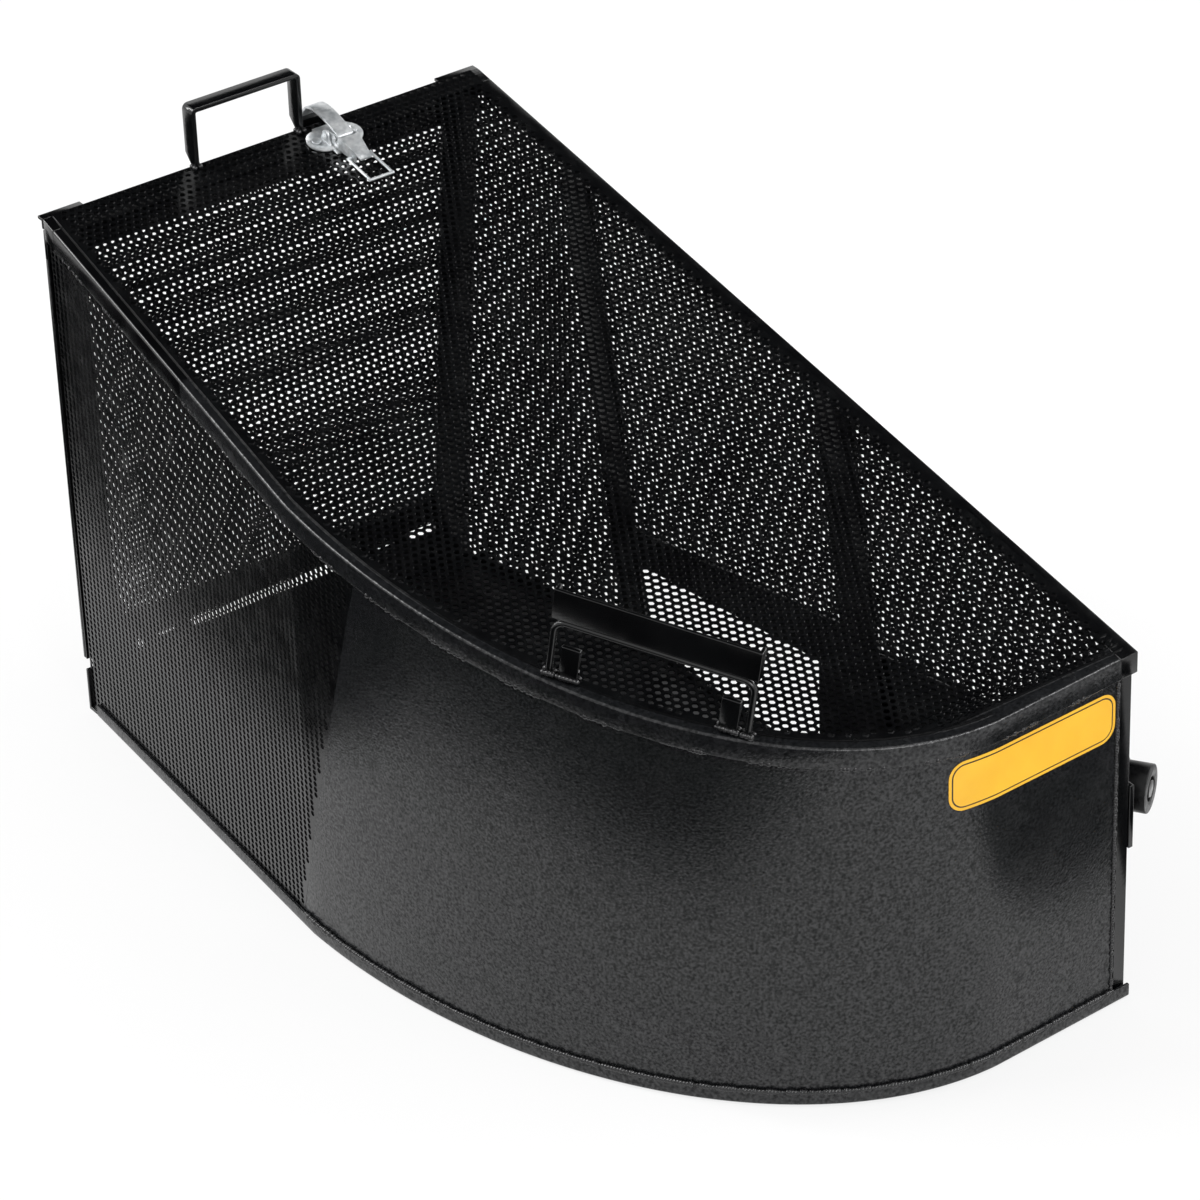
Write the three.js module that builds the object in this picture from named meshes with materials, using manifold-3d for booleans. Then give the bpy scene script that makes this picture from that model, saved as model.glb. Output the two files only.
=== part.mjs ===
import * as THREE from 'three';
import { mergeVertices } from 'three/addons/utils/BufferGeometryUtils.js';
import Module from 'manifold-3d';

// Steel grass catcher for a walk-behind mower, with a drop-down rear door and a draw latch.
// Sizes are in millimetres. X runs from the outer side to the mower side, Y from the front
// to the rear and Z up from the ground.

const wasm = await Module();
wasm.setup();

// Body seen from above: a straight rear and mower side, and an outer side that swings round the nose
const width = 400;
const length = 810;
const rearHeight = 442;
const frontHeight = 298;
const sideFlare = 28;
const noseWidth = 298;
const noseDepth = 440;
const frontRake = 7;
const noseSteps = 16;

// The mower side leans in at the rear corner to clear a wheel
const wheelTuck = 32;
const postLean = 0.17;

// Stock and fit
const sheet = 1.6;
const angleLeg = 2.5;
const barThick = 4;
const seat = 0.3;

// Rims of bent angle
const rimDrop = 17;
const rimLedge = 16;
const rimJoint = 215;
const baseRise = 11;
const baseLedge = 14;
const screenMargin = 8;

// Outer wall: perforated behind the seam and plain in front of it
const seamTop = 450;
const seamBottom = 350;
const seamGap = 0.6;

// Open holes of the perforated sheets
const topHole = 16;
const topPitch = 60;
const wallHole = 14;
const wallPitch = 54;
const plainBorder = 24;

// Rear frame
const sillHeight = 38;
const rearPostLeg = 24;
const gussetWidth = 22;
const gussetHeight = 72;
const leanPostWidth = 33;
const tabLength = 37;
const tabReach = 8;
const tabHeight = 9;

// Mower side frame and inlet
const postBWidth = 34;
const postBTop = 114;
const postCWidth = 44;
const postCTop = 423;
const headerRearLow = 86;
const headerRearHigh = 117;
const headerFrontLow = 118;
const headerFrontHigh = 160;
const inletFront = 440;
const frontPostLeg = 10;

// Door
const doorGap = 8;
const doorHeadDrop = 12;
const doorMargin = 2;
const doorBorder = 25;
const doorBar = 3;

// Door hinges
const hingeRadius = 4;
const pinRadius = 1.8;
const pinClearance = 0.3;
const pinEnd = 1.2;
const hingeLength = 46;
const hingeLeaf = 2;
const hingeLeafDrop = 26;
const hingeSpacing = 210;

// Rear handle of narrow flat bar
const rearGripX = -18;
const rearGripSpan = 99;
const rearGripHeight = 50;
const rearGripBar = 4;
const rearGripWidth = 14;
const rearGripOverhang = 8;
const bendRadius = 5;

// Front handle: a bent rod with a flat grip plate on it. Its feet are given as distances
// from the outer side and from the front.
const frontFootNear = [34, 190];
const frontFootFar = [104, 83];
const frontGripLength = 152;
const frontRod = 5;
const frontLegHeight = 46;
const frontGripHeight = 24;
const frontGripPlate = 3;
const gripReturn = 9;
const lugWidth = 14;
const lugHeight = 25;
const lugThick = 4;
const lugInset = 12;

// Draw latch
const latchX = 48;
const latchPlate = 1.5;
const latchBaseStart = 8;
const latchBaseLength = 36;
const latchBaseWidth = 21;
const wingReach = 24;
const wingRadius = 14;
const wingCentre = 24;
const rivetX = 16.5;
const rivetRadius = 2;
const rivetHead = 4;
const rivetHeadHeight = 1.6;
const earLength = 14;
const earRadius = 5;
const pinHead = 1.2;
const pivotBack = 27;
const pivotHeight = 7.2;
const latchPin = 1.6;
const strapBack = 37;
const strapHeight = 10.4;
const strapWidth = 14;
const strapThick = 2;
const strapEye = 3;
const strapRise = 6;
const strapEnd = 13;
const strapTip = 0.9;
const leverLength = 68;
const leverBack = 3;
const leverRoofGap = 3.5;
const leverTipWidth = 10;
const leverTipHeight = 9;
const cheekThick = 1.2;
const wireBack = 58;
const wireRadius = 1.2;
const wireLength = 31;
const wireHeight = 4.5;
const wireInner = 5.5;
const keeperWidth = 26;
const keeperDrop = 46;
const keeperRise = 4.5;
const keeperLip = 9;
const keeperThick = 2;

// Hitch roller beside the front corner
const hitchReach = 22;
const hitchFromFront = 44;
const hitchZ = 158;
const hitchTurn = 34;
const hitchPlate = 5;
const hitchEyeRadius = 21;
const hitchArmLength = 60;
const hitchFootLength = 44;
const hitchFootHeight = 54;
const rollerRadius = 18.5;
const rollerLength = 20;
const rollerGap = 0.5;
const rollerRecess = 9.5;
const recessDepth = 7;
const boltRadius = 5;
const boltHead = 7.5;
const boltHeadLength = 5;
const washerThick = 1.6;
const nutLength = 6;

const rearY = length / 2;
const frontY = -rearY;
const innerX = width / 2;
const outerX = -innerX;
const slope = (rearHeight - frontHeight) / length;
const tilt = Math.atan(slope);
const noseX = outerX - sideFlare + noseWidth;
const noseY = frontY + noseDepth;
const wallDepth = angleLeg + seat;
const postDepth = wallDepth + sheet + seat;
const wallFoot = angleLeg + seat;
const postFoot = wallFoot + sheet + seat;
const underRim = angleLeg + seat;
const wheelRun = postBTop + postLean * rearHeight;

const blackSteel = { color: 0x16171a, roughness: 0.35, metalness: 0.5 };
const blackSheet = { color: 0x1d1e20, roughness: 0.45, metalness: 0.5 };
const zinc = { color: 0xb9bcc0, roughness: 0.35, metalness: 0.9 };
const rubber = { color: 0x121212, roughness: 0.7, metalness: 0 };

const part = new THREE.Group();

function add(name, geometry, look, parent = part) {
  geometry.computeVertexNormals();
  const mesh = new THREE.Mesh(geometry, new THREE.MeshStandardMaterial(look));
  mesh.name = name;
  parent.add(mesh);
}

// Distances along the body are given from its rear face.
function fromRear(distance) {
  return rearY - distance;
}

function topZ(y) {
  return rearHeight - slope * (rearY - y);
}

function mix(a, b, share) {
  return a + (b - a) * share;
}

function solidOf(geometry) {
  const bare = geometry.clone();
  for (const name of Object.keys(bare.attributes)) {
    if (name !== 'position') bare.deleteAttribute(name);
  }
  const merged = mergeVertices(bare, 1e-4);
  const mesh = new wasm.Mesh({
    numProp: 3,
    vertProperties: new Float32Array(merged.attributes.position.array),
    triVerts: new Uint32Array(merged.index.array),
  });
  return new wasm.Manifold(mesh);
}

function geometryOf(solid) {
  const mesh = solid.getMesh();
  const geometry = new THREE.BufferGeometry();
  geometry.setAttribute('position', new THREE.BufferAttribute(new Float32Array(mesh.vertProperties), 3));
  geometry.setIndex(new THREE.BufferAttribute(new Uint32Array(mesh.triVerts), 1));
  return geometry;
}

function join(...geometries) {
  const solids = geometries.map(solidOf);
  return geometryOf(solids.reduce((whole, piece) => whole.add(piece)));
}

function cut(geometry, ...tools) {
  const solids = tools.map(solidOf);
  return geometryOf(solids.reduce((whole, tool) => whole.subtract(tool), solidOf(geometry)));
}

function keep(geometry, region) {
  return geometryOf(solidOf(geometry).intersect(solidOf(region)));
}

function moveVertices(geometry, place) {
  const position = geometry.attributes.position;
  const point = new THREE.Vector3();
  for (let i = 0; i < position.count; i += 1) {
    point.fromBufferAttribute(position, i);
    place(point);
    position.setXYZ(i, point.x, point.y, point.z);
  }
  return geometry;
}

function box(x0, x1, y0, y1, z0, z1) {
  const geometry = new THREE.BoxGeometry(x1 - x0, y1 - y0, z1 - z0);
  return geometry.translate((x0 + x1) / 2, (y0 + y1) / 2, (z0 + z1) / 2);
}

function shapeOf(points) {
  return new THREE.Shape(points.map(([x, y]) => new THREE.Vector2(x, y)));
}

function prism(shape, depth) {
  return new THREE.ExtrudeGeometry(shape, { depth, bevelEnabled: false, curveSegments: 8 });
}

// A profile drawn in Y and Z, extruded along X.
function prismX(shape, x0, x1) {
  const turn = new THREE.Matrix4().set(0, 0, 1, x0, 1, 0, 0, 0, 0, 1, 0, 0, 0, 0, 0, 1);
  return prism(shape, x1 - x0).applyMatrix4(turn);
}

// A profile drawn in X and Z, extruded along Y.
function prismY(shape, y0, y1) {
  const turn = new THREE.Matrix4().set(1, 0, 0, 0, 0, 0, -1, y1, 0, 1, 0, 0, 0, 0, 0, 1);
  return prism(shape, y1 - y0).applyMatrix4(turn);
}

function rodX(radius, x0, x1, y, z, sides = 16) {
  const geometry = new THREE.CylinderGeometry(radius, radius, x1 - x0, sides);
  return geometry.rotateZ(Math.PI / 2).translate((x0 + x1) / 2, y, z);
}

function rodY(radius, y0, y1, x, z, sides = 16) {
  const geometry = new THREE.CylinderGeometry(radius, radius, y1 - y0, sides);
  return geometry.translate(x, (y0 + y1) / 2, z);
}

function rodZ(radius, z0, z1, x, y, sides = 16) {
  const geometry = new THREE.CylinderGeometry(radius, radius, z1 - z0, sides);
  return geometry.rotateX(Math.PI / 2).translate(x, y, (z0 + z1) / 2);
}

// The body's outline seen from above, anticlockwise from the rear corner on the mower side.
function outline(tuck) {
  const points = [[innerX - tuck, rearY], [outerX, rearY]];
  for (let i = 0; i <= noseSteps; i += 1) {
    const angle = (Math.PI / 2) * (i / noseSteps);
    points.push([noseX - noseWidth * Math.cos(angle), noseY - noseDepth * Math.sin(angle)]);
  }
  points.push([innerX, frontY + frontRake]);
  if (tuck > 0) points.push([innerX, fromRear(wheelRun)]);
  return points;
}

function edgeNormal(a, b) {
  const run = Math.hypot(b[0] - a[0], b[1] - a[1]);
  return [-(b[1] - a[1]) / run, (b[0] - a[0]) / run];
}

// The outline drawn in by a distance, with mitred corners.
function inset(points, distance) {
  return points.map((point, i) => {
    const before = edgeNormal(points[(i + points.length - 1) % points.length], point);
    const after = edgeNormal(point, points[(i + 1) % points.length]);
    const share = distance / (1 + before[0] * after[0] + before[1] * after[1]);
    return [point[0] + share * (before[0] + after[0]), point[1] + share * (before[1] + after[1])];
  });
}

const topOutline = outline(0);
const baseOutline = outline(wheelTuck);

// A closed ring whose section is given as distances in from the outline and heights over a base.
function ring(points, section, baseOf) {
  const positions = [];
  for (const [distance, height] of section) {
    for (const [x, y] of inset(points, distance)) positions.push(x, y, baseOf(y) + height);
  }
  const index = [];
  const count = points.length;
  for (let j = 0; j < section.length; j += 1) {
    const next = (j + 1) % section.length;
    for (let i = 0; i < count; i += 1) {
      const k = (i + 1) % count;
      index.push(j * count + i, next * count + k, j * count + k);
      index.push(j * count + i, next * count + i, next * count + k);
    }
  }
  const geometry = new THREE.BufferGeometry();
  geometry.setAttribute('position', new THREE.Float32BufferAttribute(positions, 3));
  geometry.setIndex(index);
  return geometry;
}

// A flat outline given a lower and an upper surface that depend on Y.
function drape(points, lowOf, highOf) {
  return moveVertices(prism(shapeOf(points), 1), (p) => {
    p.z = p.z < 0.5 ? lowOf(p.y) : highOf(p.y);
  });
}

// Rows of places in a region that a test accepts. A shift of a half staggers the rows.
function rows(u0, u1, v0, v1, pitch, rowStep, shift, inside) {
  const rowCount = Math.floor((v1 - v0) / rowStep);
  const spots = [];
  for (let row = 0; row <= rowCount; row += 1) {
    const v = v0 + ((v1 - v0) - rowCount * rowStep) / 2 + row * rowStep;
    for (let u = u0 + (row % 2) * shift * pitch; u <= u1; u += pitch) {
      if (inside(u, v)) spots.push([u, v]);
    }
  }
  return spots;
}

function insideLoop(loop, x, y) {
  let odd = false;
  loop.forEach(([ax, ay], i) => {
    const [bx, by] = loop[(i + 1) % loop.length];
    if ((ay > y) !== (by > y) && x < ax + ((y - ay) / (by - ay)) * (bx - ax)) odd = !odd;
  });
  return odd;
}

// Everything lies inside these limits, so cutting blocks run out to them.
const far = 2 * length;

// Top rim: an angle with its ledge turned in, in four lengths that butt against each other
function topRimRing() {
  const section = [
    [0, -rimDrop],
    [angleLeg, -rimDrop],
    [angleLeg, -angleLeg],
    [rimLedge, -angleLeg],
    [rimLedge, 0],
    [0, 0],
  ];
  return ring(topOutline, section, topZ);
}

function addTopRim() {
  const rim = topRimRing();
  const behind = fromRear(rimLedge);
  const joint = fromRear(rimJoint);
  const inner = innerX - rimLedge;
  add('top_rim_rear', keep(rim, box(-far, far, behind, far, -far, far)), blackSteel);
  add('top_rim_mower_side', keep(rim, box(inner, far, -far, behind - seat, -far, far)), blackSteel);
  add('top_rim_outer_side', keep(rim, box(-far, 0, joint, behind - seat, -far, far)), blackSteel);
  add('top_rim_nose', keep(rim, box(-far, inner - seat, -far, joint - seat, -far, far)), blackSteel);
}

// Base rim: the same angle turned over, with a taller sill under the door
function addBaseRim() {
  const section = [
    [0, 0],
    [baseLedge, 0],
    [baseLedge, angleLeg],
    [angleLeg, angleLeg],
    [angleLeg, baseRise],
    [0, baseRise],
  ];
  const rim = ring(baseOutline, section, () => 0);
  const behind = fromRear(baseLedge) - seat;
  const ahead = frontY + frontRake + baseLedge;
  const inner = innerX - wheelTuck - baseLedge - barThick;
  add('base_rim_mower_side', keep(rim, box(inner, far, ahead, behind, -far, far)), blackSteel);
  const mowerSide = box(inner, far, ahead - seat, far, -far, far);
  const rear = box(-far, far, behind, far, -far, far);
  add('base_rim_outer_side', cut(rim, mowerSide, rear), blackSteel);
  const profile = [
    [rearY - baseLedge, 0],
    [rearY, 0],
    [rearY, sillHeight],
    [rearY - angleLeg, sillHeight],
    [rearY - angleLeg, angleLeg],
    [rearY - baseLedge, angleLeg],
  ];
  const sill = prismX(shapeOf(profile), outerX, innerX - wheelTuck);
  add('rear_sill', sill, blackSteel);
}

function addFloor() {
  const pan = drape(inset(baseOutline, postDepth), () => wallFoot, () => wallFoot + sheet);
  add('floor_pan', pan, blackSheet);
}

function addTopScreen() {
  const edge = inset(topOutline, screenMargin);
  edge[0][1] = rearY - seat;
  edge[1][1] = rearY - seat;
  const low = (y) => topZ(y) + seat;
  const plate = drape(edge, low, (y) => low(y) + sheet);
  const clear = inset(topOutline, rimLedge + plainBorder);
  const latchEnd = fromRear(latchBaseStart + latchBaseLength + topHole);
  const spots = rows(outerX, innerX, frontY, rearY, topPitch, topPitch * Math.sqrt(0.75), 0.5, (x, y) => {
    const underLatch = Math.abs(x - latchX) < wingReach + topHole && y > latchEnd;
    return insideLoop(clear, x, y) && !underLatch;
  });
  const holes = spots.map(([x, y]) => rodZ(topHole / 2, topZ(y) - far, topZ(y) + far, x, y, 6));
  const rivetHoles = [-rivetX, rivetX].map((x) => {
    const y = fromRear(wingCentre * Math.cos(tilt));
    return rodZ(rivetRadius + 2 * seat, 0, far, latchX + x, y, 12);
  });
  add('top_screen', cut(plate, ...holes, ...rivetHoles), blackSheet);
}

// The outer wall is one upright strip along the side and round the nose, cut in two at a leaning seam.
function wallStrip() {
  const last = noseSteps + 3;
  const end = innerX - wallDepth - frontPostLeg - seat;
  const edges = [wallDepth, wallDepth + sheet].map((distance) => {
    const loop = inset(topOutline, distance).slice(1, last + 1);
    const [x, y] = loop[loop.length - 1];
    loop[loop.length - 1] = [end, y + (end - x) * (frontRake / (innerX - noseX))];
    loop[0] = [loop[0][0], rearY - wallDepth];
    return loop;
  });
  return drape([...edges[0], ...edges[1].reverse()], () => wallFoot, (y) => topZ(y) - underRim);
}

// A block that covers everything ahead of the seam, its rear face moved forward by a gap.
function aheadOfSeam(gap) {
  const top = fromRear(seamTop) - gap;
  const bottom = fromRear(seamBottom) - gap;
  return prismX(shapeOf([[bottom, 0], [top, topZ(top)], [-far, topZ(top)], [-far, 0]]), -far, far);
}

function addOuterWall() {
  const wall = wallStrip();
  const seamAt = (z) => mix(fromRear(seamBottom), fromRear(seamTop), z / frontHeight);
  const spots = rows(fromRear(0) - seamTop, rearY, 0, rearHeight, wallPitch, wallPitch, 0, (y, z) => {
    const low = postFoot + plainBorder;
    const high = topZ(y) - rimDrop - plainBorder;
    return z > low && z < high && y > seamAt(z) + plainBorder && y < rearY - rearPostLeg - plainBorder;
  });
  const holes = spots.map(([y, z]) => rodX(wallHole / 2, -far, 0, y, z, 6));
  add('outer_screen', cut(wall, aheadOfSeam(0), ...holes), blackSheet);
  add('nose_panel', keep(wall, aheadOfSeam(seamGap)), blackSteel);
}

// How far the mower side is drawn in at a place: full at the rear foot, nothing at the leaning post.
function tuckAt(y, z) {
  const rise = Math.max(z - baseRise, 0);
  const along = THREE.MathUtils.clamp(1 - (rearY - y) / (wheelRun - postLean * rise), 0, 1);
  return wheelTuck * along * (1 - rise / (rearHeight - baseRise));
}

// The rearward edge of a leaning post of the mower side, given its place at the top.
function postEdge(top, z) {
  return fromRear(top + postLean * (rearHeight - Math.max(z - baseRise, 0)));
}

function mowerSideBar(points) {
  return prismX(shapeOf(points), innerX - postDepth - barThick, innerX - postDepth);
}

function leaningPost(top, barWidth) {
  const heights = [postFoot, baseRise, rearHeight];
  const rearSide = heights.map((z) => [postEdge(top, z), z]);
  const frontSide = heights.map((z) => [postEdge(top, z) - barWidth, z]).reverse();
  const high = (y) => topZ(y) - underRim;
  const lowered = [[-far, -far], [far, -far], [far, high(far)], [-far, high(-far)]];
  const below = prismX(shapeOf(lowered), -far, far);
  return keep(mowerSideBar([...rearSide, ...frontSide]), below);
}

function addMowerSideFrame() {
  add('lean_post_rear', leaningPost(postBTop, postBWidth), blackSteel);
  add('lean_post_middle', leaningPost(postCTop, postCWidth), blackSteel);
  const rearAt = (z) => postEdge(postBTop, z) - postBWidth - seat;
  const frontAt = (z) => postEdge(postCTop, z) + seat;
  const header = mowerSideBar([
    [rearAt(headerRearLow), headerRearLow],
    [rearAt(headerRearHigh), headerRearHigh],
    [frontAt(headerFrontHigh), headerFrontHigh],
    [frontAt(headerFrontLow), headerFrontLow],
  ]);
  add('inlet_header', header, blackSteel);
}

// Height of the edge where the perforated sheet of the mower side meets what is below it.
function headerLine(y) {
  const share = (fromRear(wheelRun) - y) / (postCTop - wheelRun);
  return mix((headerRearLow + headerRearHigh) / 2, (headerFrontLow + headerFrontHigh) / 2, share);
}

function addMowerSideScreens() {
  const outside = innerX - wallDepth;
  const fold = (z) => postEdge(postBTop, z);
  const rearEdge = rearY - wallDepth;
  const strips = 5;
  const rearPanel = moveVertices(new THREE.BoxGeometry(1, 1, 1, 1, 6, strips), (p) => {
    const step = Math.round((p.z + 0.5) * strips);
    const level = step === 0 ? 0 : (step - 1) / (strips - 1);
    const y = mix(fold(level * rearHeight) + seat, rearEdge, p.y + 0.5);
    const z = step === 0 ? wallFoot : mix(baseRise, topZ(y) - underRim, level);
    p.set(outside - (0.5 - p.x) * sheet - tuckAt(y, z), y, z);
  });
  const rearSpots = rows(fromRear(wheelRun), rearY, 0, rearHeight, wallPitch, wallPitch, 0.5, (y, z) => {
    const inHeight = z > postFoot + plainBorder && z < topZ(y) - rimDrop - plainBorder;
    return inHeight && y > fold(z) + plainBorder && y < rearY - plainBorder;
  });
  const rearHoles = rearSpots.map(([y, z]) => rodX(wallHole / 2, 0, far, y, z, 6));
  add('mower_side_screen_rear', cut(rearPanel, ...rearHoles), blackSheet);

  const end = frontY + frontRake + wallDepth + frontPostLeg + seat;
  const top = (y) => topZ(y) - underRim;
  const rearTop = fold(rearHeight) - seat;
  const rearLow = fold(headerLine(fromRear(wheelRun))) - seat;
  const profile = [
    [rearLow, headerLine(rearLow) + seat],
    [rearTop, top(rearTop)],
    [end, top(end)],
    [end, headerLine(end) + seat],
  ];
  const panel = prismX(shapeOf(profile), outside - sheet, outside);
  const spots = rows(end, rearTop, 0, rearHeight, wallPitch, wallPitch, 0.5, (y, z) => {
    const onPost = Math.abs(y - (postEdge(postCTop, z) - postCWidth / 2)) < postCWidth / 2 + wallHole;
    const inHeight = z > headerLine(y) + plainBorder && z < topZ(y) - rimDrop - wallHole;
    const inLength = y > end + wallHole && y < fold(z) - postBWidth - wallHole;
    return inHeight && inLength && !onPost;
  });
  const holes = spots.map(([y, z]) => rodX(wallHole / 2, 0, far, y, z, 6));
  add('mower_side_screen_front', cut(panel, ...holes), blackSheet);

  const jamb = fromRear(inletFront);
  const lower = [
    [jamb, wallFoot],
    [jamb, headerLine(jamb) - seat],
    [end, headerLine(end) - seat],
    [end, wallFoot],
  ];
  add('mower_side_panel', prismX(shapeOf(lower), outside - sheet, outside), blackSteel);
}

function addCornerPosts() {
  const front = frontY + frontRake + wallDepth;
  const right = innerX - wallDepth;
  const frontAngle = [
    [right, front],
    [right, front + frontPostLeg],
    [right - angleLeg, front + frontPostLeg],
    [right - angleLeg, front + angleLeg],
    [right - frontPostLeg, front + angleLeg],
    [right - frontPostLeg, front + frontRake * (frontPostLeg / (innerX - noseX))],
  ];
  add('front_corner_post', drape(frontAngle, () => postFoot, (y) => topZ(y) - underRim), blackSteel);

  const rear = rearY - wallDepth;
  const left = outerX + postDepth;
  const rearAngle = [
    [left, rear],
    [left, rear - rearPostLeg],
    [left + angleLeg, rear - rearPostLeg],
    [left + angleLeg, rear - angleLeg],
    [left + rearPostLeg, rear - angleLeg],
    [left + rearPostLeg, rear],
  ];
  add('rear_corner_post', drape(rearAngle, () => postFoot, (y) => topZ(y) - underRim), blackSteel);

  const edge = (z) => innerX - tuckAt(rearY, z) - postDepth;
  const high = topZ(rear - barThick) - underRim;
  const leaning = [
    [edge(postFoot) - leanPostWidth, postFoot],
    [edge(postFoot), postFoot],
    [edge(baseRise), baseRise],
    [edge(high), high],
    [edge(high) - leanPostWidth, high],
    [edge(baseRise) - leanPostWidth, baseRise],
  ];
  add('rear_leaning_post', prismY(shapeOf(leaning), rear - barThick, rear), blackSteel);

  const start = left + rearPostLeg + seat;
  const gusset = [
    [start, sillHeight - baseLedge],
    [start + gussetWidth, sillHeight - baseLedge],
    [start, sillHeight + gussetHeight],
  ];
  add('rear_corner_gusset', prismY(shapeOf(gusset), rear - angleLeg, rear), blackSteel);
}

// Two angle tabs that reach back over the door's upper corners
function addCornerTabs() {
  const face = rearY + seat;
  const profile = [
    [face, rearHeight - tabHeight],
    [face + angleLeg, rearHeight - tabHeight],
    [face + angleLeg, rearHeight - angleLeg],
    [rearY + tabReach, rearHeight - angleLeg],
    [rearY + tabReach, rearHeight],
    [face, rearHeight],
  ];
  add('corner_tab_outer', prismX(shapeOf(profile), outerX, outerX + tabLength), blackSteel);
  add('corner_tab_mower_side', prismX(shapeOf(profile), innerX - tabLength, innerX), blackSteel);
}

addTopRim();
addBaseRim();
addFloor();
addTopScreen();
addOuterWall();
addMowerSideFrame();
addMowerSideScreens();
addCornerPosts();
addCornerTabs();

// Door: a perforated sheet behind four flat bars
const doorFoot = sillHeight + doorGap;
const doorHead = rearHeight - doorHeadDrop;
const doorSheetFace = rearY + seat;
const doorBarFace = doorSheetFace + sheet + seat;
const doorFace = doorBarFace + doorBar;

function doorEdge(z) {
  return innerX - tuckAt(rearY, z) - doorMargin;
}

function addDoor() {
  const left = outerX + doorMargin;
  const across = (low, high) => [[left, low], [doorEdge(low), low], [doorEdge(high), high], [left, high]];
  const plate = prismY(shapeOf(across(doorFoot, doorHead)), doorSheetFace, doorSheetFace + sheet);
  const border = doorBorder + plainBorder / 2;
  const lowest = doorFoot + border;
  const rowStep = wallPitch * 0.9;
  const spots = rows(left + border, innerX, lowest, doorHead - border, wallPitch, rowStep, 0.5, (x, z) => {
    return x < doorEdge(z) - border;
  });
  const holes = spots.map(([x, z]) => rodY(wallHole / 2, 0, far, x, z, 6));
  add('door_screen', cut(plate, ...holes), blackSheet);

  const bar = (points) => prismY(shapeOf(points), doorBarFace, doorFace);
  add('door_bar_foot', bar(across(doorFoot, doorFoot + doorBorder)), blackSteel);
  add('door_bar_head', bar(across(doorHead - doorBorder, doorHead)), blackSteel);
  const low = doorFoot + doorBorder + seat;
  const high = doorHead - doorBorder - seat;
  const upright = [[left, low], [left + doorBorder, low], [left + doorBorder, high], [left, high]];
  add('door_bar_outer', bar(upright), blackSteel);
  const slanted = [
    [doorEdge(low) - doorBorder, low],
    [doorEdge(low), low],
    [doorEdge(high), high],
    [doorEdge(high) - doorBorder, high],
  ];
  add('door_bar_mower_side', bar(slanted), blackSteel);
}

// Butt hinges: two knuckles on the sill, one on the door, and a pin with upset ends
function addDoorHinge(side, x) {
  const axisY = doorFace + seat + hingeRadius;
  const axisZ = (sillHeight + doorFoot) / 2;
  const third = hingeLength / 3;
  const start = x - hingeLength / 2;
  const bore = rodX(pinRadius + pinClearance, x - far, x + far, axisY, axisZ);
  const knuckle = (from, to) => rodX(hingeRadius, from, to, axisY, axisZ);
  const wallFace = rearY + seat;
  const shelf = axisZ - hingeRadius / 2;
  const end = start + hingeLength;
  const fixed = join(
    box(start, end, wallFace, wallFace + hingeLeaf, shelf - hingeLeafDrop, shelf),
    box(start, start + third - seat, wallFace, axisY, shelf - hingeLeaf, shelf),
    box(start + 2 * third + seat, end, wallFace, axisY, shelf - hingeLeaf, shelf),
    knuckle(start, start + third - seat),
    knuckle(start + 2 * third + seat, end),
  );
  add(`hinge_leaf_${side}`, cut(fixed, bore), blackSteel);
  const leafFace = doorFace + seat;
  const leafBack = leafFace + hingeLeaf;
  const leafTop = axisZ + hingeLeafDrop;
  const [left, right] = [start + third + seat, start + 2 * third - seat];
  const door = join(
    box(start, end, leafFace, leafBack, axisZ + hingeRadius + seat, leafTop),
    box(left, right, leafFace, leafBack, axisZ, leafTop),
    knuckle(left, right),
  );
  add(`door_hinge_leaf_${side}`, cut(door, bore), blackSteel);
  const head = hingeRadius * 0.7;
  const reach = pinEnd + seat;
  const pin = join(
    rodX(pinRadius, start - reach, end + reach, axisY, axisZ),
    rodX(head, start - reach, start - seat, axisY, axisZ),
    rodX(head, end + seat, end + reach, axisY, axisZ),
  );
  add(`hinge_pin_${side}`, pin, blackSteel);
}

addDoor();
const doorMiddle = (outerX + doorEdge(doorFoot)) / 2;
addDoorHinge('outer', doorMiddle - hingeSpacing / 2);
addDoorHinge('mower_side', doorMiddle + hingeSpacing / 2);

// A staple profile in X and Z with rounded corners, its feet at height 0.
function staple(span, height, thick, radius) {
  const half = span / 2;
  const shape = new THREE.Shape();
  shape.moveTo(-half, 0);
  shape.lineTo(-half, height - radius);
  shape.absarc(-half + radius, height - radius, radius, Math.PI, Math.PI / 2, true);
  shape.lineTo(half - radius, height);
  shape.absarc(half - radius, height - radius, radius, Math.PI / 2, 0, true);
  shape.lineTo(half, 0);
  shape.lineTo(half - thick, 0);
  const inner = Math.max(radius - thick, 0.5);
  const soffit = height - thick;
  shape.lineTo(half - thick, soffit - inner);
  shape.absarc(half - thick - inner, soffit - inner, inner, 0, Math.PI / 2, false);
  shape.lineTo(-half + thick + inner, soffit);
  shape.absarc(-half + thick + inner, soffit - inner, inner, Math.PI / 2, Math.PI, false);
  shape.lineTo(-half + thick, 0);
  return shape;
}

const screenTop = (y) => topZ(y) + seat + sheet;

function addRearHandle() {
  const foot = screenTop(rearY) + seat;
  const back = rearY + rearGripOverhang;
  const shape = staple(rearGripSpan, rearGripHeight, rearGripBar, bendRadius);
  const bar = prismY(shape, back - rearGripWidth, back).translate(rearGripX, 0, foot);
  const edge = rearY - 1;
  const chamfer = [[edge, foot - 1], [back + 1, foot - 1], [back + 1, foot + rearGripOverhang + 2]];
  add('rear_handle', cut(bar, prismX(shapeOf(chamfer), -far, far)), blackSteel);
}

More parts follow.
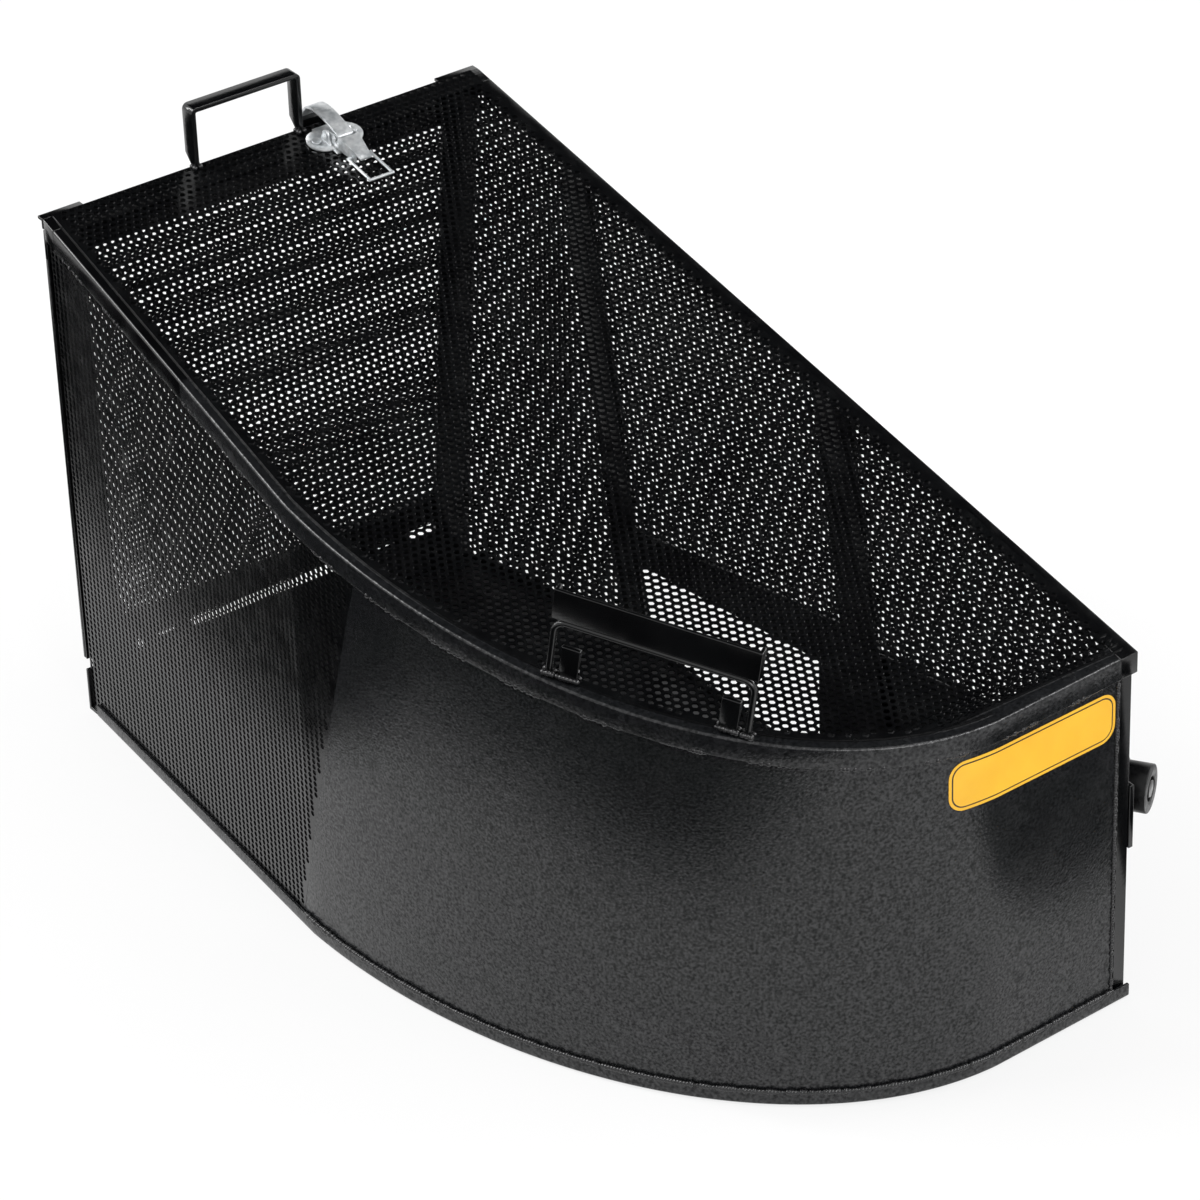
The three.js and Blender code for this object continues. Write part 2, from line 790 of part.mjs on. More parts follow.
// The front handle stands on the nose rim, turned to follow it. Its group lies along the top's slope.
function addFrontHandle() {
  const [near, farPoint] = [frontFootNear, frontFootFar].map(([fromSide, fromFront]) => {
    const y = frontY + fromFront;
    return new THREE.Vector3(outerX + fromSide, y, topZ(y));
  });
  const along = farPoint.clone().sub(near).normalize();
  const level = new THREE.Vector3(0, 0, 1).cross(along).normalize();
  const up = along.clone().cross(level);
  const group = new THREE.Group();
  group.position.copy(near.clone().add(farPoint).multiplyScalar(0.5));
  group.quaternion.setFromRotationMatrix(new THREE.Matrix4().makeBasis(along, level, up));
  part.add(group);

  const lift = sheet + 3 * seat;
  const half = frontRod / 2;
  const rod = prismY(staple(frontGripLength, frontLegHeight, frontRod, bendRadius + 1), -half, half);
  add('front_handle_rod', rod.translate(0, 0, lift), blackSteel, group);
  const low = lift + frontLegHeight + seat;
  const reach = frontGripLength / 2;
  const plan = [
    [-reach, gripReturn],
    [-reach, 0],
    [reach, 0],
    [reach, gripReturn],
    [reach - frontGripPlate, gripReturn],
    [reach - frontGripPlate, frontGripPlate],
    [-reach + frontGripPlate, frontGripPlate],
    [-reach + frontGripPlate, gripReturn],
  ];
  const grip = prism(shapeOf(plan), frontGripHeight).translate(0, -half, low);
  add('front_handle_grip', grip, blackSteel, group);
  for (const [side, sign] of [['near', -1], ['far', 1]]) {
    const middle = sign * (reach - frontRod - lugInset);
    const lug = new THREE.BoxGeometry(lugWidth, lugThick, lugHeight);
    add(`front_handle_lug_${side}`, lug.translate(middle, 0, lift + lugHeight / 2), blackSteel, group);
  }
}

addRearHandle();
addFrontHandle();

// The latch lies on the top, so its group is tilted with it. Distances run forward as minus Y.
const latch = new THREE.Group();
latch.position.set(latchX, rearY, screenTop(rearY));
latch.rotation.x = tilt;
part.add(latch);

const baseTop = seat + latchPlate;
const baseHalf = latchBaseWidth / 2;
const baseFront = -latchBaseStart - latchBaseLength;
const cheekOutside = baseHalf - latchPlate - seat;
const cheekInside = cheekOutside - cheekThick;

function addLatchBase() {
  const plate = box(-baseHalf, baseHalf, baseFront, -latchBaseStart, seat, baseTop);
  const wings = [-1, 1].map((side) => {
    return rodZ(wingRadius, seat, baseTop, side * (wingReach - wingRadius), -wingCentre, 20);
  });
  const ears = [-baseHalf, baseHalf - latchPlate].map((x) => {
    const profile = new THREE.Shape();
    profile.moveTo(-pivotBack - earLength / 2, seat);
    profile.lineTo(-pivotBack + earLength / 2, seat);
    profile.absarc(-pivotBack, pivotHeight, earRadius, 0, Math.PI, false);
    return prismX(profile, x, x + latchPlate);
  });
  const body = join(plate, ...wings, ...ears);
  const rivetHoles = [-rivetX, rivetX].map((x) => rodZ(rivetRadius + seat, -far, far, x, -wingCentre, 12));
  const pinHole = rodX(latchPin + seat, -far, far, -pivotBack, pivotHeight);
  add('latch_base', cut(body, pinHole, ...rivetHoles), zinc, latch);
}

function addLatchRivet(side, x) {
  const underScreen = -sheet - seat;
  const rivet = join(
    rodZ(rivetRadius, underScreen - rivetHeadHeight, baseTop + rivetHeadHeight, x, -wingCentre, 12),
    rodZ(rivetHead, baseTop + seat, baseTop + rivetHeadHeight, x, -wingCentre, 12),
    rodZ(rivetHead - 1, underScreen - rivetHeadHeight, underScreen, x, -wingCentre, 12),
  );
  add(`latch_rivet_${side}`, rivet, zinc, latch);
}

// A pin across the latch with a head at each end, just outside what it holds.
function headedPin(y, z, reach) {
  const end = reach + seat + pinHead;
  return join(
    rodX(latchPin, -end, end, y, z),
    rodX(latchPin + 1, -end, -reach - seat, y, z),
    rodX(latchPin + 1, reach + seat, end, y, z),
  );
}

// Lever: two tapering cheeks under a roof that runs out to a finger tip
function addLatchLever() {
  const back = -pivotBack + leverBack;
  const roofBack = -strapBack - strapEye - leverRoofGap;
  const cheekEnd = -wireBack - 4;
  const top = (y) => {
    if (y > roofBack) return mix(pivotHeight + leverBack, strapHeight + 4, (back - y) / (back - roofBack));
    return mix(strapHeight + 4, leverTipHeight, (roofBack - y) / (roofBack + leverLength));
  };
  const low = (y) => mix(pivotHeight - leverBack, baseTop, (back - y) / (back - cheekEnd)) + seat;
  const taper = (y) => mix(cheekOutside, leverTipWidth / 2, (roofBack - y) / (roofBack + leverLength));
  const cheeks = [-1, 1].map((side) => {
    const plan = [
      [side * cheekOutside, back],
      [side * cheekOutside, roofBack],
      [side * taper(cheekEnd), cheekEnd],
      [side * (taper(cheekEnd) - cheekThick), cheekEnd],
      [side * cheekInside, roofBack],
      [side * cheekInside, back],
    ];
    return drape(plan, low, top);
  });
  const tip = leverTipWidth / 2;
  const roofPlan = [
    [-cheekOutside, roofBack],
    [-tip, -leverLength],
    [tip, -leverLength],
    [cheekOutside, roofBack],
  ];
  const roof = drape(roofPlan, (y) => top(y) - latchPlate, top);
  const holes = [
    rodX(latchPin + seat, -far, far, -pivotBack, pivotHeight),
    rodX(latchPin + seat, -far, far, -strapBack, strapHeight),
    rodX(wireRadius + seat, -far, far, -wireBack, wireHeight, 10),
  ];
  add('latch_lever', cut(join(...cheeks, roof), ...holes), zinc, latch);
  add('latch_pivot_pin', headedPin(-pivotBack, pivotHeight, baseHalf), zinc, latch);
  add('latch_strap_pin', headedPin(-strapBack, strapHeight, cheekOutside), zinc, latch);
}

// Strap: a band that arches over the rear edge to bear on the keeper's lip, with a rolled eye
function addLatchStrap() {
  const high = strapHeight + strapEye;
  const profile = new THREE.Shape();
  profile.moveTo(-strapBack, high);
  const crown = high + strapRise;
  profile.bezierCurveTo(-strapBack / 4, crown, strapEnd - 1, crown, strapEnd, strapTip);
  profile.lineTo(strapEnd - strapThick, strapTip);
  const under = high - strapThick;
  const inside = crown - strapThick;
  profile.bezierCurveTo(strapEnd - 3, inside - 0.5, -strapBack / 4, inside, -strapBack, under);
  const half = strapWidth / 2;
  const band = prismX(profile, -half, half);
  const eye = rodX(strapEye, -half, half, -strapBack, strapHeight);
  const hole = rodX(latchPin + seat, -far, far, -strapBack, strapHeight);
  add('latch_strap', cut(join(band, eye), hole), zinc, latch);
}

function addLatchWire() {
  const side = cheekOutside + seat + wireRadius;
  const end = -wireBack - wireLength;
  const legs = [-side, side].map((x) => rodY(wireRadius, end, -wireBack, x, wireHeight, 10));
  const across = rodX(wireRadius, -side - wireRadius, side + wireRadius, end, wireHeight, 10);
  const pivots = [[-side - wireRadius, -wireInner], [wireInner, side + wireRadius]].map(([from, to]) => {
    return rodX(wireRadius, from, to, -wireBack, wireHeight, 10);
  });
  add('latch_wire', join(...legs, across, ...pivots), zinc, latch);
}

function addLatchKeeper() {
  const face = doorFace + seat;
  const top = rearHeight + keeperRise;
  const profile = [
    [face, rearHeight - keeperDrop],
    [face + keeperThick, rearHeight - keeperDrop],
    [face + keeperThick, top - keeperThick],
    [face + keeperLip, top - keeperThick],
    [face + keeperLip, top],
    [face, top],
  ];
  const half = keeperWidth / 2;
  add('latch_keeper', prismX(shapeOf(profile), latchX - half, latchX + half), blackSteel);
}

addLatchBase();
addLatchRivet('outer', -rivetX);
addLatchRivet('mower_side', rivetX);
addLatchLever();
addLatchStrap();
addLatchWire();
addLatchKeeper();

// Hitch: an arm off the mower side carries a roller on a bolt, turned out from the front.
// In its own group the bolt runs along Y and the arm's front face lies at Y 0.
const hitchY = frontY + hitchFromFront;
const hitch = new THREE.Group();
hitch.position.set(innerX + hitchReach, hitchY, hitchZ);
hitch.rotation.z = THREE.MathUtils.degToRad(hitchTurn);
part.add(hitch);

function addHitchBracket() {
  const wallFace = innerX - wallDepth + seat;
  const foot = box(
    wallFace,
    wallFace + barThick,
    hitchY - 0.8 * hitchFootLength,
    hitchY + 0.2 * hitchFootLength,
    hitchZ - hitchFootHeight / 2,
    hitchZ + hitchFootHeight / 2,
  );
  const arm = new THREE.Shape();
  arm.moveTo(-hitchArmLength, -hitchEyeRadius);
  arm.lineTo(0, -hitchEyeRadius);
  arm.absarc(0, 0, hitchEyeRadius, -Math.PI / 2, Math.PI / 2, false);
  arm.lineTo(-hitchArmLength, hitchEyeRadius);
  const plate = cut(prismY(arm, 0, hitchPlate), rodY(boltRadius + seat, -far, far, 0, 0));
  hitch.updateMatrix();
  const placed = plate.applyMatrix4(hitch.matrix);
  const beyond = box(wallFace, far, -far, far, -far, far);
  add('hitch_bracket', join(foot, keep(placed, beyond)), blackSteel);
}

function addHitchRoller() {
  const front = -rollerGap - rollerLength;
  const floor = front + recessDepth;
  const roller = cut(
    rodY(rollerRadius, front, -rollerGap, 0, 0, 28),
    rodY(boltRadius + seat, -far, far, 0, 0),
    rodY(rollerRecess, front - 1, floor, 0, 0, 24),
  );
  add('hitch_roller', roller, rubber, hitch);
  const washerFace = floor - seat - washerThick;
  const washer = cut(
    rodY(rollerRecess - 3 * seat, washerFace, floor - seat, 0, 0, 24),
    rodY(boltRadius + seat, -far, far, 0, 0),
  );
  add('hitch_washer', washer, blackSteel, hitch);
  const nutFace = hitchPlate + seat;
  const bolt = join(
    rodY(boltRadius, washerFace - seat, nutFace + nutLength + 3, 0, 0),
    rodY(boltHead, washerFace - seat - boltHeadLength, washerFace - seat, 0, 0, 6),
  );
  add('hitch_bolt', bolt, blackSteel, hitch);
  const nutBody = rodY(boltHead + 1, nutFace, nutFace + nutLength, 0, 0, 6);
  const nut = cut(nutBody, rodY(boltRadius + seat, -far, far, 0, 0));
  add('hitch_nut', nut, blackSteel, hitch);
}

addHitchBracket();
addHitchRoller();

// The origin is the middle of the whole part on the ground.
const bounds = new THREE.Box3().setFromObject(part);
const middle = bounds.getCenter(new THREE.Vector3());
part.position.set(-middle.x, -middle.y, -bounds.min.z);

export default part;
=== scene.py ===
import math

import bmesh
import bpy
from mathutils import Matrix, Vector


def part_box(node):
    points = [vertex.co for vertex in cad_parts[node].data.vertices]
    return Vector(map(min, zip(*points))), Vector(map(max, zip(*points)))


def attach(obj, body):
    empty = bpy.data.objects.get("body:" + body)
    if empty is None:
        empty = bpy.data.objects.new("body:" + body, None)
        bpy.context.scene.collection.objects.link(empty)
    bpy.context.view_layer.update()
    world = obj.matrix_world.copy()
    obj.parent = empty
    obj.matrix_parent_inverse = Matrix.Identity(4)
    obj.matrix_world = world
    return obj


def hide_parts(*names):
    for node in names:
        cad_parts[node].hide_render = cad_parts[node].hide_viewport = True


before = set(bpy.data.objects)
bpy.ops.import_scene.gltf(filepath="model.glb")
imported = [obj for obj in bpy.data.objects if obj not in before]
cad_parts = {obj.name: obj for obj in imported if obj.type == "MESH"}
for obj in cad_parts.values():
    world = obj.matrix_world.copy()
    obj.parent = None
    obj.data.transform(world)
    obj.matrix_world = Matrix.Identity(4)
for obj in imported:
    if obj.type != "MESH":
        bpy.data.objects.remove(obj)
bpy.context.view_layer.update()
print("frame loaded:", len(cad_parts), "nodes")

# Main sizes of the catcher in millimetres, as in its drawing: x from the outer side to the
# mower side, y from the front to the rear, z up from the ground. The perforated screens are of
# thinner sheet than the nose.
catcher = {
    "width": 400, "length": 810, "rearHeight": 442, "frontHeight": 298,
    "sideFlare": 28, "noseWidth": 298, "noseDepth": 440, "frontRake": 7,
    "noseSteps": 96, "wallDepth": 2.8, "sheet": 1.6, "screen": 1.2, "seat": 0.3,
}
rearY = catcher["length"] / 2
innerX = catcher["width"] / 2
slope = (catcher["rearHeight"] - catcher["frontHeight"]) / catcher["length"]
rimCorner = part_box("top_rim_rear")[1]
shiftX = rimCorner.x * 1000 - innerX
shiftY = rimCorner.y * 1000 - rearY


def topZ(y):
    return catcher["rearHeight"] - slope * (rearY - y)


def place(x, y, z):
    return Vector((x + shiftX, y + shiftY, z)) / 1000


def mix(a, b, share):
    return a + (b - a) * share


def linear(hexColour):
    values = [int(hexColour[i:i + 2], 16) / 255 for i in (1, 3, 5)]
    return (*[c / 12.92 if c <= 0.04045 else ((c + 0.055) / 1.055) ** 2.4 for c in values], 1)


def addNode(tree, kind, links=None, **settings):
    node = tree.nodes.new(kind)
    for key, value in settings.items():
        setattr(node, key, value)
    for socket, source in (links or {}).items():
        if isinstance(source, bpy.types.NodeSocket):
            tree.links.new(source, node.inputs[socket])
        else:
            node.inputs[socket].default_value = source
    return node


def startMaterial(name):
    material = bpy.data.materials.new(name)
    material.use_nodes = True
    tree = material.node_tree
    tree.nodes.clear()
    shader = addNode(tree, "ShaderNodeBsdfPrincipled")
    addNode(tree, "ShaderNodeOutputMaterial", {0: shader.outputs[0]})
    spot = addNode(tree, "ShaderNodeTexCoord").outputs["Object"]
    return material, tree, shader, spot


# Grain sizes are in millimetres, so a noise scale is 1000 / size
def grain(tree, spot, size, detail=2.0):
    links = {"Vector": spot, "Scale": 1000 / size, "Detail": detail}
    return addNode(tree, "ShaderNodeTexNoise", links).outputs["Fac"]


# Noise stays mostly between 0.3 and 0.7, so that span is spread over low to high
def ranged(tree, value, low, high, start=0.3, end=0.7):
    links = {0: value, 1: start, 2: end, 3: low, 4: high}
    return addNode(tree, "ShaderNodeMapRange", links).outputs[0]


# Relief is the height in metres that the grain stands for
def roughened(tree, shader, height, strength, relief=0.0002):
    links = {"Height": height, "Strength": strength, "Distance": relief}
    bump = addNode(tree, "ShaderNodeBump", links)
    tree.links.new(bump.outputs[0], shader.inputs["Normal"])


def blended(tree, share, first, second):
    node = addNode(tree, "ShaderNodeMix", {0: share}, data_type="RGBA")
    for index, colour in ((6, first), (7, second)):
        if isinstance(colour, bpy.types.NodeSocket):
            tree.links.new(colour, node.inputs[index])
        else:
            node.inputs[index].default_value = linear(colour)
    return node.outputs[2]


# Powder coat over mild steel: sprayed and baked, so it flows to a wet gloss with a faint
# orange peel. Speck, patch and peel are the sizes in millimetres of its specks of colour, its
# duller patches and its orange peel; with a glint, the specks vary in shine too.
def powderCoat(name, look):
    material, tree, shader, spot = startMaterial(name)
    patches = grain(tree, spot, look["speck"], 3)
    colour = blended(tree, ranged(tree, patches, 0, 1), look["dark"], look["light"])
    tree.links.new(colour, shader.inputs["Base Color"])
    rough = ranged(tree, grain(tree, spot, look["patch"] / 3), look["gloss"], look["dull"])
    tree.links.new(rough, shader.inputs["Roughness"])
    roughened(tree, shader, grain(tree, spot, look["peel"], 1), look["depth"])
    if "glint" in look:
        shine = ranged(tree, grain(tree, spot, look["speck"], 1), look["specular"], look["glint"])
        tree.links.new(shine, shader.inputs["Specular IOR Level"])
    else:
        shader.inputs["Specular IOR Level"].default_value = look["specular"]
    return material


frameLook = {"dark": "#050506", "light": "#0B0C0D", "speck": 60, "patch": 60,
             "gloss": 0.12, "dull": 0.22, "peel": 1.8, "depth": 0.22, "specular": 0.5}
screenLook = {"dark": "#050506", "light": "#0B0C0D", "speck": 45, "patch": 45,
              "gloss": 0.16, "dull": 0.28, "peel": 1.6, "depth": 0.2, "specular": 0.45}
# The nose, its rim and the base band carry the same coat over blasted steel. Its grit is finer
# than a pixel, so the speckle is drawn at about 2 mm to show.
panelLook = {"dark": "#0B0C0D", "light": "#1B1C1E", "speck": 2.2, "patch": 90, "gloss": 0.21,
             "dull": 0.27, "peel": 1.8, "depth": 0.8, "specular": 0.22, "glint": 0.72}
bandLook = {"dark": "#0B0C0D", "light": "#1B1C1E", "speck": 2.6, "patch": 60,
            "gloss": 0.2, "dull": 0.3, "peel": 2.2, "depth": 1.0, "specular": 0.25, "glint": 0.7}
innerLook = {"dark": "#0E0E0F", "light": "#1A1B1D", "speck": 70, "patch": 70,
             "gloss": 0.4, "dull": 0.55, "peel": 2.0, "depth": 0.2, "specular": 0.4}
weldLook = {"dark": "#0C0C0D", "light": "#1C1C1E", "speck": 8, "patch": 8,
            "gloss": 0.18, "dull": 0.32, "peel": 1.2, "depth": 0.5, "specular": 0.55}


# Zinc plate on pressed steel: bright and slightly blue, clouded by handling
def zincPlate(look):
    material, tree, shader, spot = startMaterial("zincPlate")
    clouds = grain(tree, spot, look["cloud"], 4)
    colour = blended(tree, ranged(tree, clouds, 0, 1), look["dark"], look["light"])
    tree.links.new(colour, shader.inputs["Base Color"])
    shader.inputs["Metallic"].default_value = look["metal"]
    rough = ranged(tree, grain(tree, spot, look["cloud"] / 2), look["gloss"], look["dull"])
    tree.links.new(rough, shader.inputs["Roughness"])
    roughened(tree, shader, clouds, look["depth"])
    return material


# Nylon roller: moulded black and worn by use, so it is satin with a little dust
def nylon(look):
    material, tree, shader, spot = startMaterial("rollerNylon")
    dust = grain(tree, spot, look["dust"], 4)
    colour = blended(tree, ranged(tree, dust, 0, 1), look["dark"], look["light"])
    tree.links.new(colour, shader.inputs["Base Color"])
    tree.links.new(ranged(tree, dust, look["gloss"], look["dull"]), shader.inputs["Roughness"])
    shader.inputs["Specular IOR Level"].default_value = look["specular"]
    roughened(tree, shader, dust, look["depth"])
    return material


# Vinyl film: one even colour under a clear face, with a trace of the panel's grain
def vinyl(name, look):
    material, tree, shader, spot = startMaterial(name)
    cloud = ranged(tree, grain(tree, spot, look["cloud"], 2), 0, 1)
    colour = blended(tree, cloud, look["even"], look["deeper"])
    tree.links.new(colour, shader.inputs["Base Color"])
    shader.inputs["Roughness"].default_value = look["dull"]
    roughened(tree, shader, grain(tree, spot, look["grain"]), look["depth"], 0.0001)
    return material


frameCoat = powderCoat("frameCoat", frameLook)
screenCoat = powderCoat("screenCoat", screenLook)
panelCoat = powderCoat("panelCoat", panelLook)
bandCoat = powderCoat("bandCoat", bandLook)
innerCoat = powderCoat("innerCoat", innerLook)
weldCoat = powderCoat("weldCoat", weldLook)
zinc = zincPlate({"dark": "#B4B9BC", "light": "#E6E8E9", "cloud": 6, "gloss": 0.3, "dull": 0.5,
                  "depth": 0.2, "metal": 0.6})
roller = nylon({"dark": "#060607", "light": "#0F0F10", "dust": 5, "gloss": 0.25, "dull": 0.4,
                "depth": 0.3, "specular": 0.2})
filmLook = {"cloud": 25, "dull": 0.38, "grain": 1.5, "depth": 0.08}
yellowFilm = vinyl("yellowFilm", {**filmLook, "even": "#F2BB2A", "deeper": "#EDB224"})
darkFilm = vinyl("darkFilm", {**filmLook, "even": "#191612", "deeper": "#221D16"})
print("materials ready")


def newPiece(name, mesh, body, material=None, smooth=None):
    piece = bpy.data.objects.new(name, mesh)
    bpy.context.scene.collection.objects.link(piece)
    if material:
        mesh.materials.clear()
        mesh.materials.append(material)
    if smooth is not None:
        mesh.shade_smooth()
        mesh.set_sharp_from_angle(angle=math.radians(smooth))
    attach(piece, body)
    return piece


# Distances in metres at which points are one, and the angles in degrees over which an edge is
# eased and shown sharp
tools = {"same": 1e-7, "weldNode": 2e-6, "holeJoin": 1e-6, "easeOver": 32, "sharpOver": 40}


def meshFrom(name, points, faces):
    mesh = bpy.data.meshes.new(name)
    mesh.from_pydata(points, [], faces)
    shell = bmesh.new()
    shell.from_mesh(mesh)
    bmesh.ops.remove_doubles(shell, verts=shell.verts, dist=tools["same"])
    bmesh.ops.recalc_face_normals(shell, faces=shell.faces)
    shell.to_mesh(mesh)
    shell.free()
    return mesh


def applied(helper):
    bpy.context.view_layer.update()
    evaluated = helper.evaluated_get(bpy.context.evaluated_depsgraph_get())
    mesh = bpy.data.meshes.new_from_object(evaluated)
    bpy.data.objects.remove(helper)
    return mesh


# A copy of a CAD node with its flat faces made whole and its edges eased
def eased(name, node, body, material, edge, steps=2):
    shell = bmesh.new()
    shell.from_mesh(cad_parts[node].data)
    bmesh.ops.remove_doubles(shell, verts=shell.verts, dist=tools["weldNode"])
    bmesh.ops.dissolve_limit(shell, angle_limit=math.radians(1), verts=shell.verts,
                             edges=shell.edges)
    mesh = bpy.data.meshes.new(name)
    shell.to_mesh(mesh)
    shell.free()
    mesh.shade_smooth()
    helper = bpy.data.objects.new(name + "Helper", mesh)
    bpy.context.scene.collection.objects.link(helper)
    bevel = helper.modifiers.new("edges", "BEVEL")
    bevel.width = edge / 1000
    bevel.segments = steps
    bevel.limit_method = "ANGLE"
    bevel.angle_limit = math.radians(tools["easeOver"])
    bevel.harden_normals = True
    piece = newPiece(name, applied(helper), body, material)
    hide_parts(node)
    return piece


# The outer side and the nose are one path, measured in millimetres from the rear corner
def nosePath():
    left = -innerX
    centreX = left - catcher["sideFlare"] + catcher["noseWidth"]
    centreY = -rearY + catcher["noseDepth"]
    points = [(left, rearY)]
    for i in range(catcher["noseSteps"] + 1):
        angle = math.pi / 2 * i / catcher["noseSteps"]
        x = centreX - catcher["noseWidth"] * math.cos(angle)
        points.append((x, centreY - catcher["noseDepth"] * math.sin(angle)))
    points.append((innerX, -rearY + catcher["frontRake"]))
    return points


pathPoints = nosePath()
pathAt = [0.0]
for before, after in zip(pathPoints, pathPoints[1:]):
    pathAt.append(pathAt[-1] + math.dist(before, after))


# The way in from an edge of the path
def inwardOf(a, b):
    run = math.dist(a, b)
    return (-(b[1] - a[1]) / run, (b[0] - a[0]) / run)


edgeNormals = [inwardOf(a, b) for a, b in zip(pathPoints, pathPoints[1:])]
pathNormals = []
for i in range(len(pathPoints)):
    n0, n1 = edgeNormals[max(i - 1, 0)], edgeNormals[min(i, len(edgeNormals) - 1)]
    share = 1 / (1 + n0[0] * n1[0] + n0[1] * n1[1])
    pathNormals.append((share * (n0[0] + n1[0]), share * (n0[1] + n1[1])))


def pathPoint(along, depth):
    index = 0
    while index < len(pathAt) - 2 and pathAt[index + 1] < along:
        index += 1
    share = (along - pathAt[index]) / (pathAt[index + 1] - pathAt[index])
    (x0, y0), (x1, y1) = pathPoints[index], pathPoints[index + 1]
    (nx0, ny0), (nx1, ny1) = pathNormals[index], pathNormals[index + 1]
    x = mix(x0, x1, share) + depth * mix(nx0, nx1, share)
    return (x, mix(y0, y1, share) + depth * mix(ny0, ny1, share))


def alongAtRear(distance):
    return distance * pathAt[1] / (pathPoints[0][1] - pathPoints[1][1])


def stationsBetween(start, end):
    return [start] + [s for s in pathAt if start + 0.5 < s < end - 0.5] + [end]


# A cross-section's corners rounded: each corner is depth, height and radius
def rounded(corners, steps=3):
    points = []
    for i, (x, y, radius) in enumerate(corners):
        if radius == 0:
            points.append((x, y))
            continue
        px, py, _ = corners[i - 1]
        nx, ny, _ = corners[(i + 1) % len(corners)]
        corner = Vector((x, y))
        back, ahead = Vector((px - x, py - y)).normalized(), Vector((nx - x, ny - y)).normalized()
        start, end = corner + back * radius, corner + ahead * radius
        for step in range(steps + 1):
            t = step / steps
            points.append(tuple(start.lerp(corner, t).lerp(corner.lerp(end, t), t)))
    return points


# A section carried along the path: its heights are over a base that may depend on y
def sweep(name, stations, section, baseOf):
    points, faces = [], []
    size = len(section)
    for along in stations:
        for depth, height in section:
            x, y = pathPoint(along, depth)
            points.append(place(x, y, baseOf(y) + height))
    for i in range(len(stations) - 1):
        for j in range(size):
            k = (j + 1) % size
            faces.append((i * size + j, i * size + k, (i + 1) * size + k, (i + 1) * size + j))
    faces.append(tuple(range(size)))
    faces.append(tuple((len(stations) - 1) * size + j for j in reversed(range(size))))
    return meshFrom(name, points, faces)


rims = {
    "leg": 2.5, "drop": 17, "ledge": 16, "bend": 2.2, "edge": 0.5, "joint": 215,
    "baseRise": 11, "baseLedge": 14, "frontEnd": 183.7, "easing": 0.5, "floorEasing": 0.3,
}


def frontAlong(x):
    fromX, toX = pathPoints[-2][0], pathPoints[-1][0]
    return pathAt[-2] + (x - fromX) * (pathAt[-1] - pathAt[-2]) / (toX - fromX)


def shaped(name, mesh, material, node):
    piece = newPiece(name, mesh, "catcher", material, tools["sharpOver"])
    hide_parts(node)


def onGround(y):
    return 0


def makeRims():
    leg, edge = rims["leg"], rims["edge"]
    upper = rounded([
        (0, -rims["drop"], edge), (leg, -rims["drop"], edge), (leg, -leg, edge),
        (rims["ledge"], -leg, edge), (rims["ledge"], 0, edge), (0, 0, rims["bend"]),
    ])
    start, joint = alongAtRear(rims["ledge"] + catcher["seat"]), alongAtRear(rims["joint"])
    mesh = sweep("topRimOuterSide", stationsBetween(start, joint), upper, topZ)
    shaped("topRimOuterSide", mesh, frameCoat, "top_rim_outer_side")
    start = alongAtRear(rims["joint"] + catcher["seat"])
    mesh = sweep("topRimNose", stationsBetween(start, frontAlong(rims["frontEnd"])), upper, topZ)
    shaped("topRimNose", mesh, bandCoat, "top_rim_nose")
    lower = rounded([
        (0, 0, rims["bend"]), (rims["baseLedge"], 0, edge), (rims["baseLedge"], leg, edge),
        (leg, leg, edge), (leg, rims["baseRise"], edge), (0, rims["baseRise"], edge),
    ])
    start = alongAtRear(rims["baseLedge"] + catcher["seat"])
    mesh = sweep("baseRimOuterSide", stationsBetween(start, pathAt[-1]), lower, onGround)
    shaped("baseRimOuterSide", mesh, bandCoat, "base_rim_outer_side")


makeRims()

frameNodes = [
    "top_rim_rear", "top_rim_mower_side", "base_rim_mower_side", "rear_sill",
    "lean_post_rear", "lean_post_middle", "inlet_header", "mower_side_panel", "front_corner_post",
    "rear_corner_post", "rear_leaning_post", "rear_corner_gusset", "corner_tab_outer",
    "corner_tab_mower_side",
]


def pieceName(node):
    first, *rest = node.split("_")
    return first + "".join(word.capitalize() for word in rest)


for node in frameNodes:
    eased(pieceName(node), node, "catcher", frameCoat, rims["easing"])
eased("floorPan", "floor_pan", "catcher", innerCoat, rims["floorEasing"])
print("rims, posts and floor ready")


# The nose panel is one sheet bent round the front, cut on a slant where the screen begins
nosePanel = {"seamTop": 450.6, "seamBottom": 350.6, "rows": 12, "bottom": 2.8, "underRim": 2.8}


def seamAlong(share):
    y = mix(rearY - nosePanel["seamBottom"], rearY - nosePanel["seamTop"], share)
    low, high = 0.0, pathAt[-1]
    for _ in range(40):
        middle = (low + high) / 2
        low, high = (middle, high) if pathPoint(middle, 0)[1] > y else (low, middle)
    return low


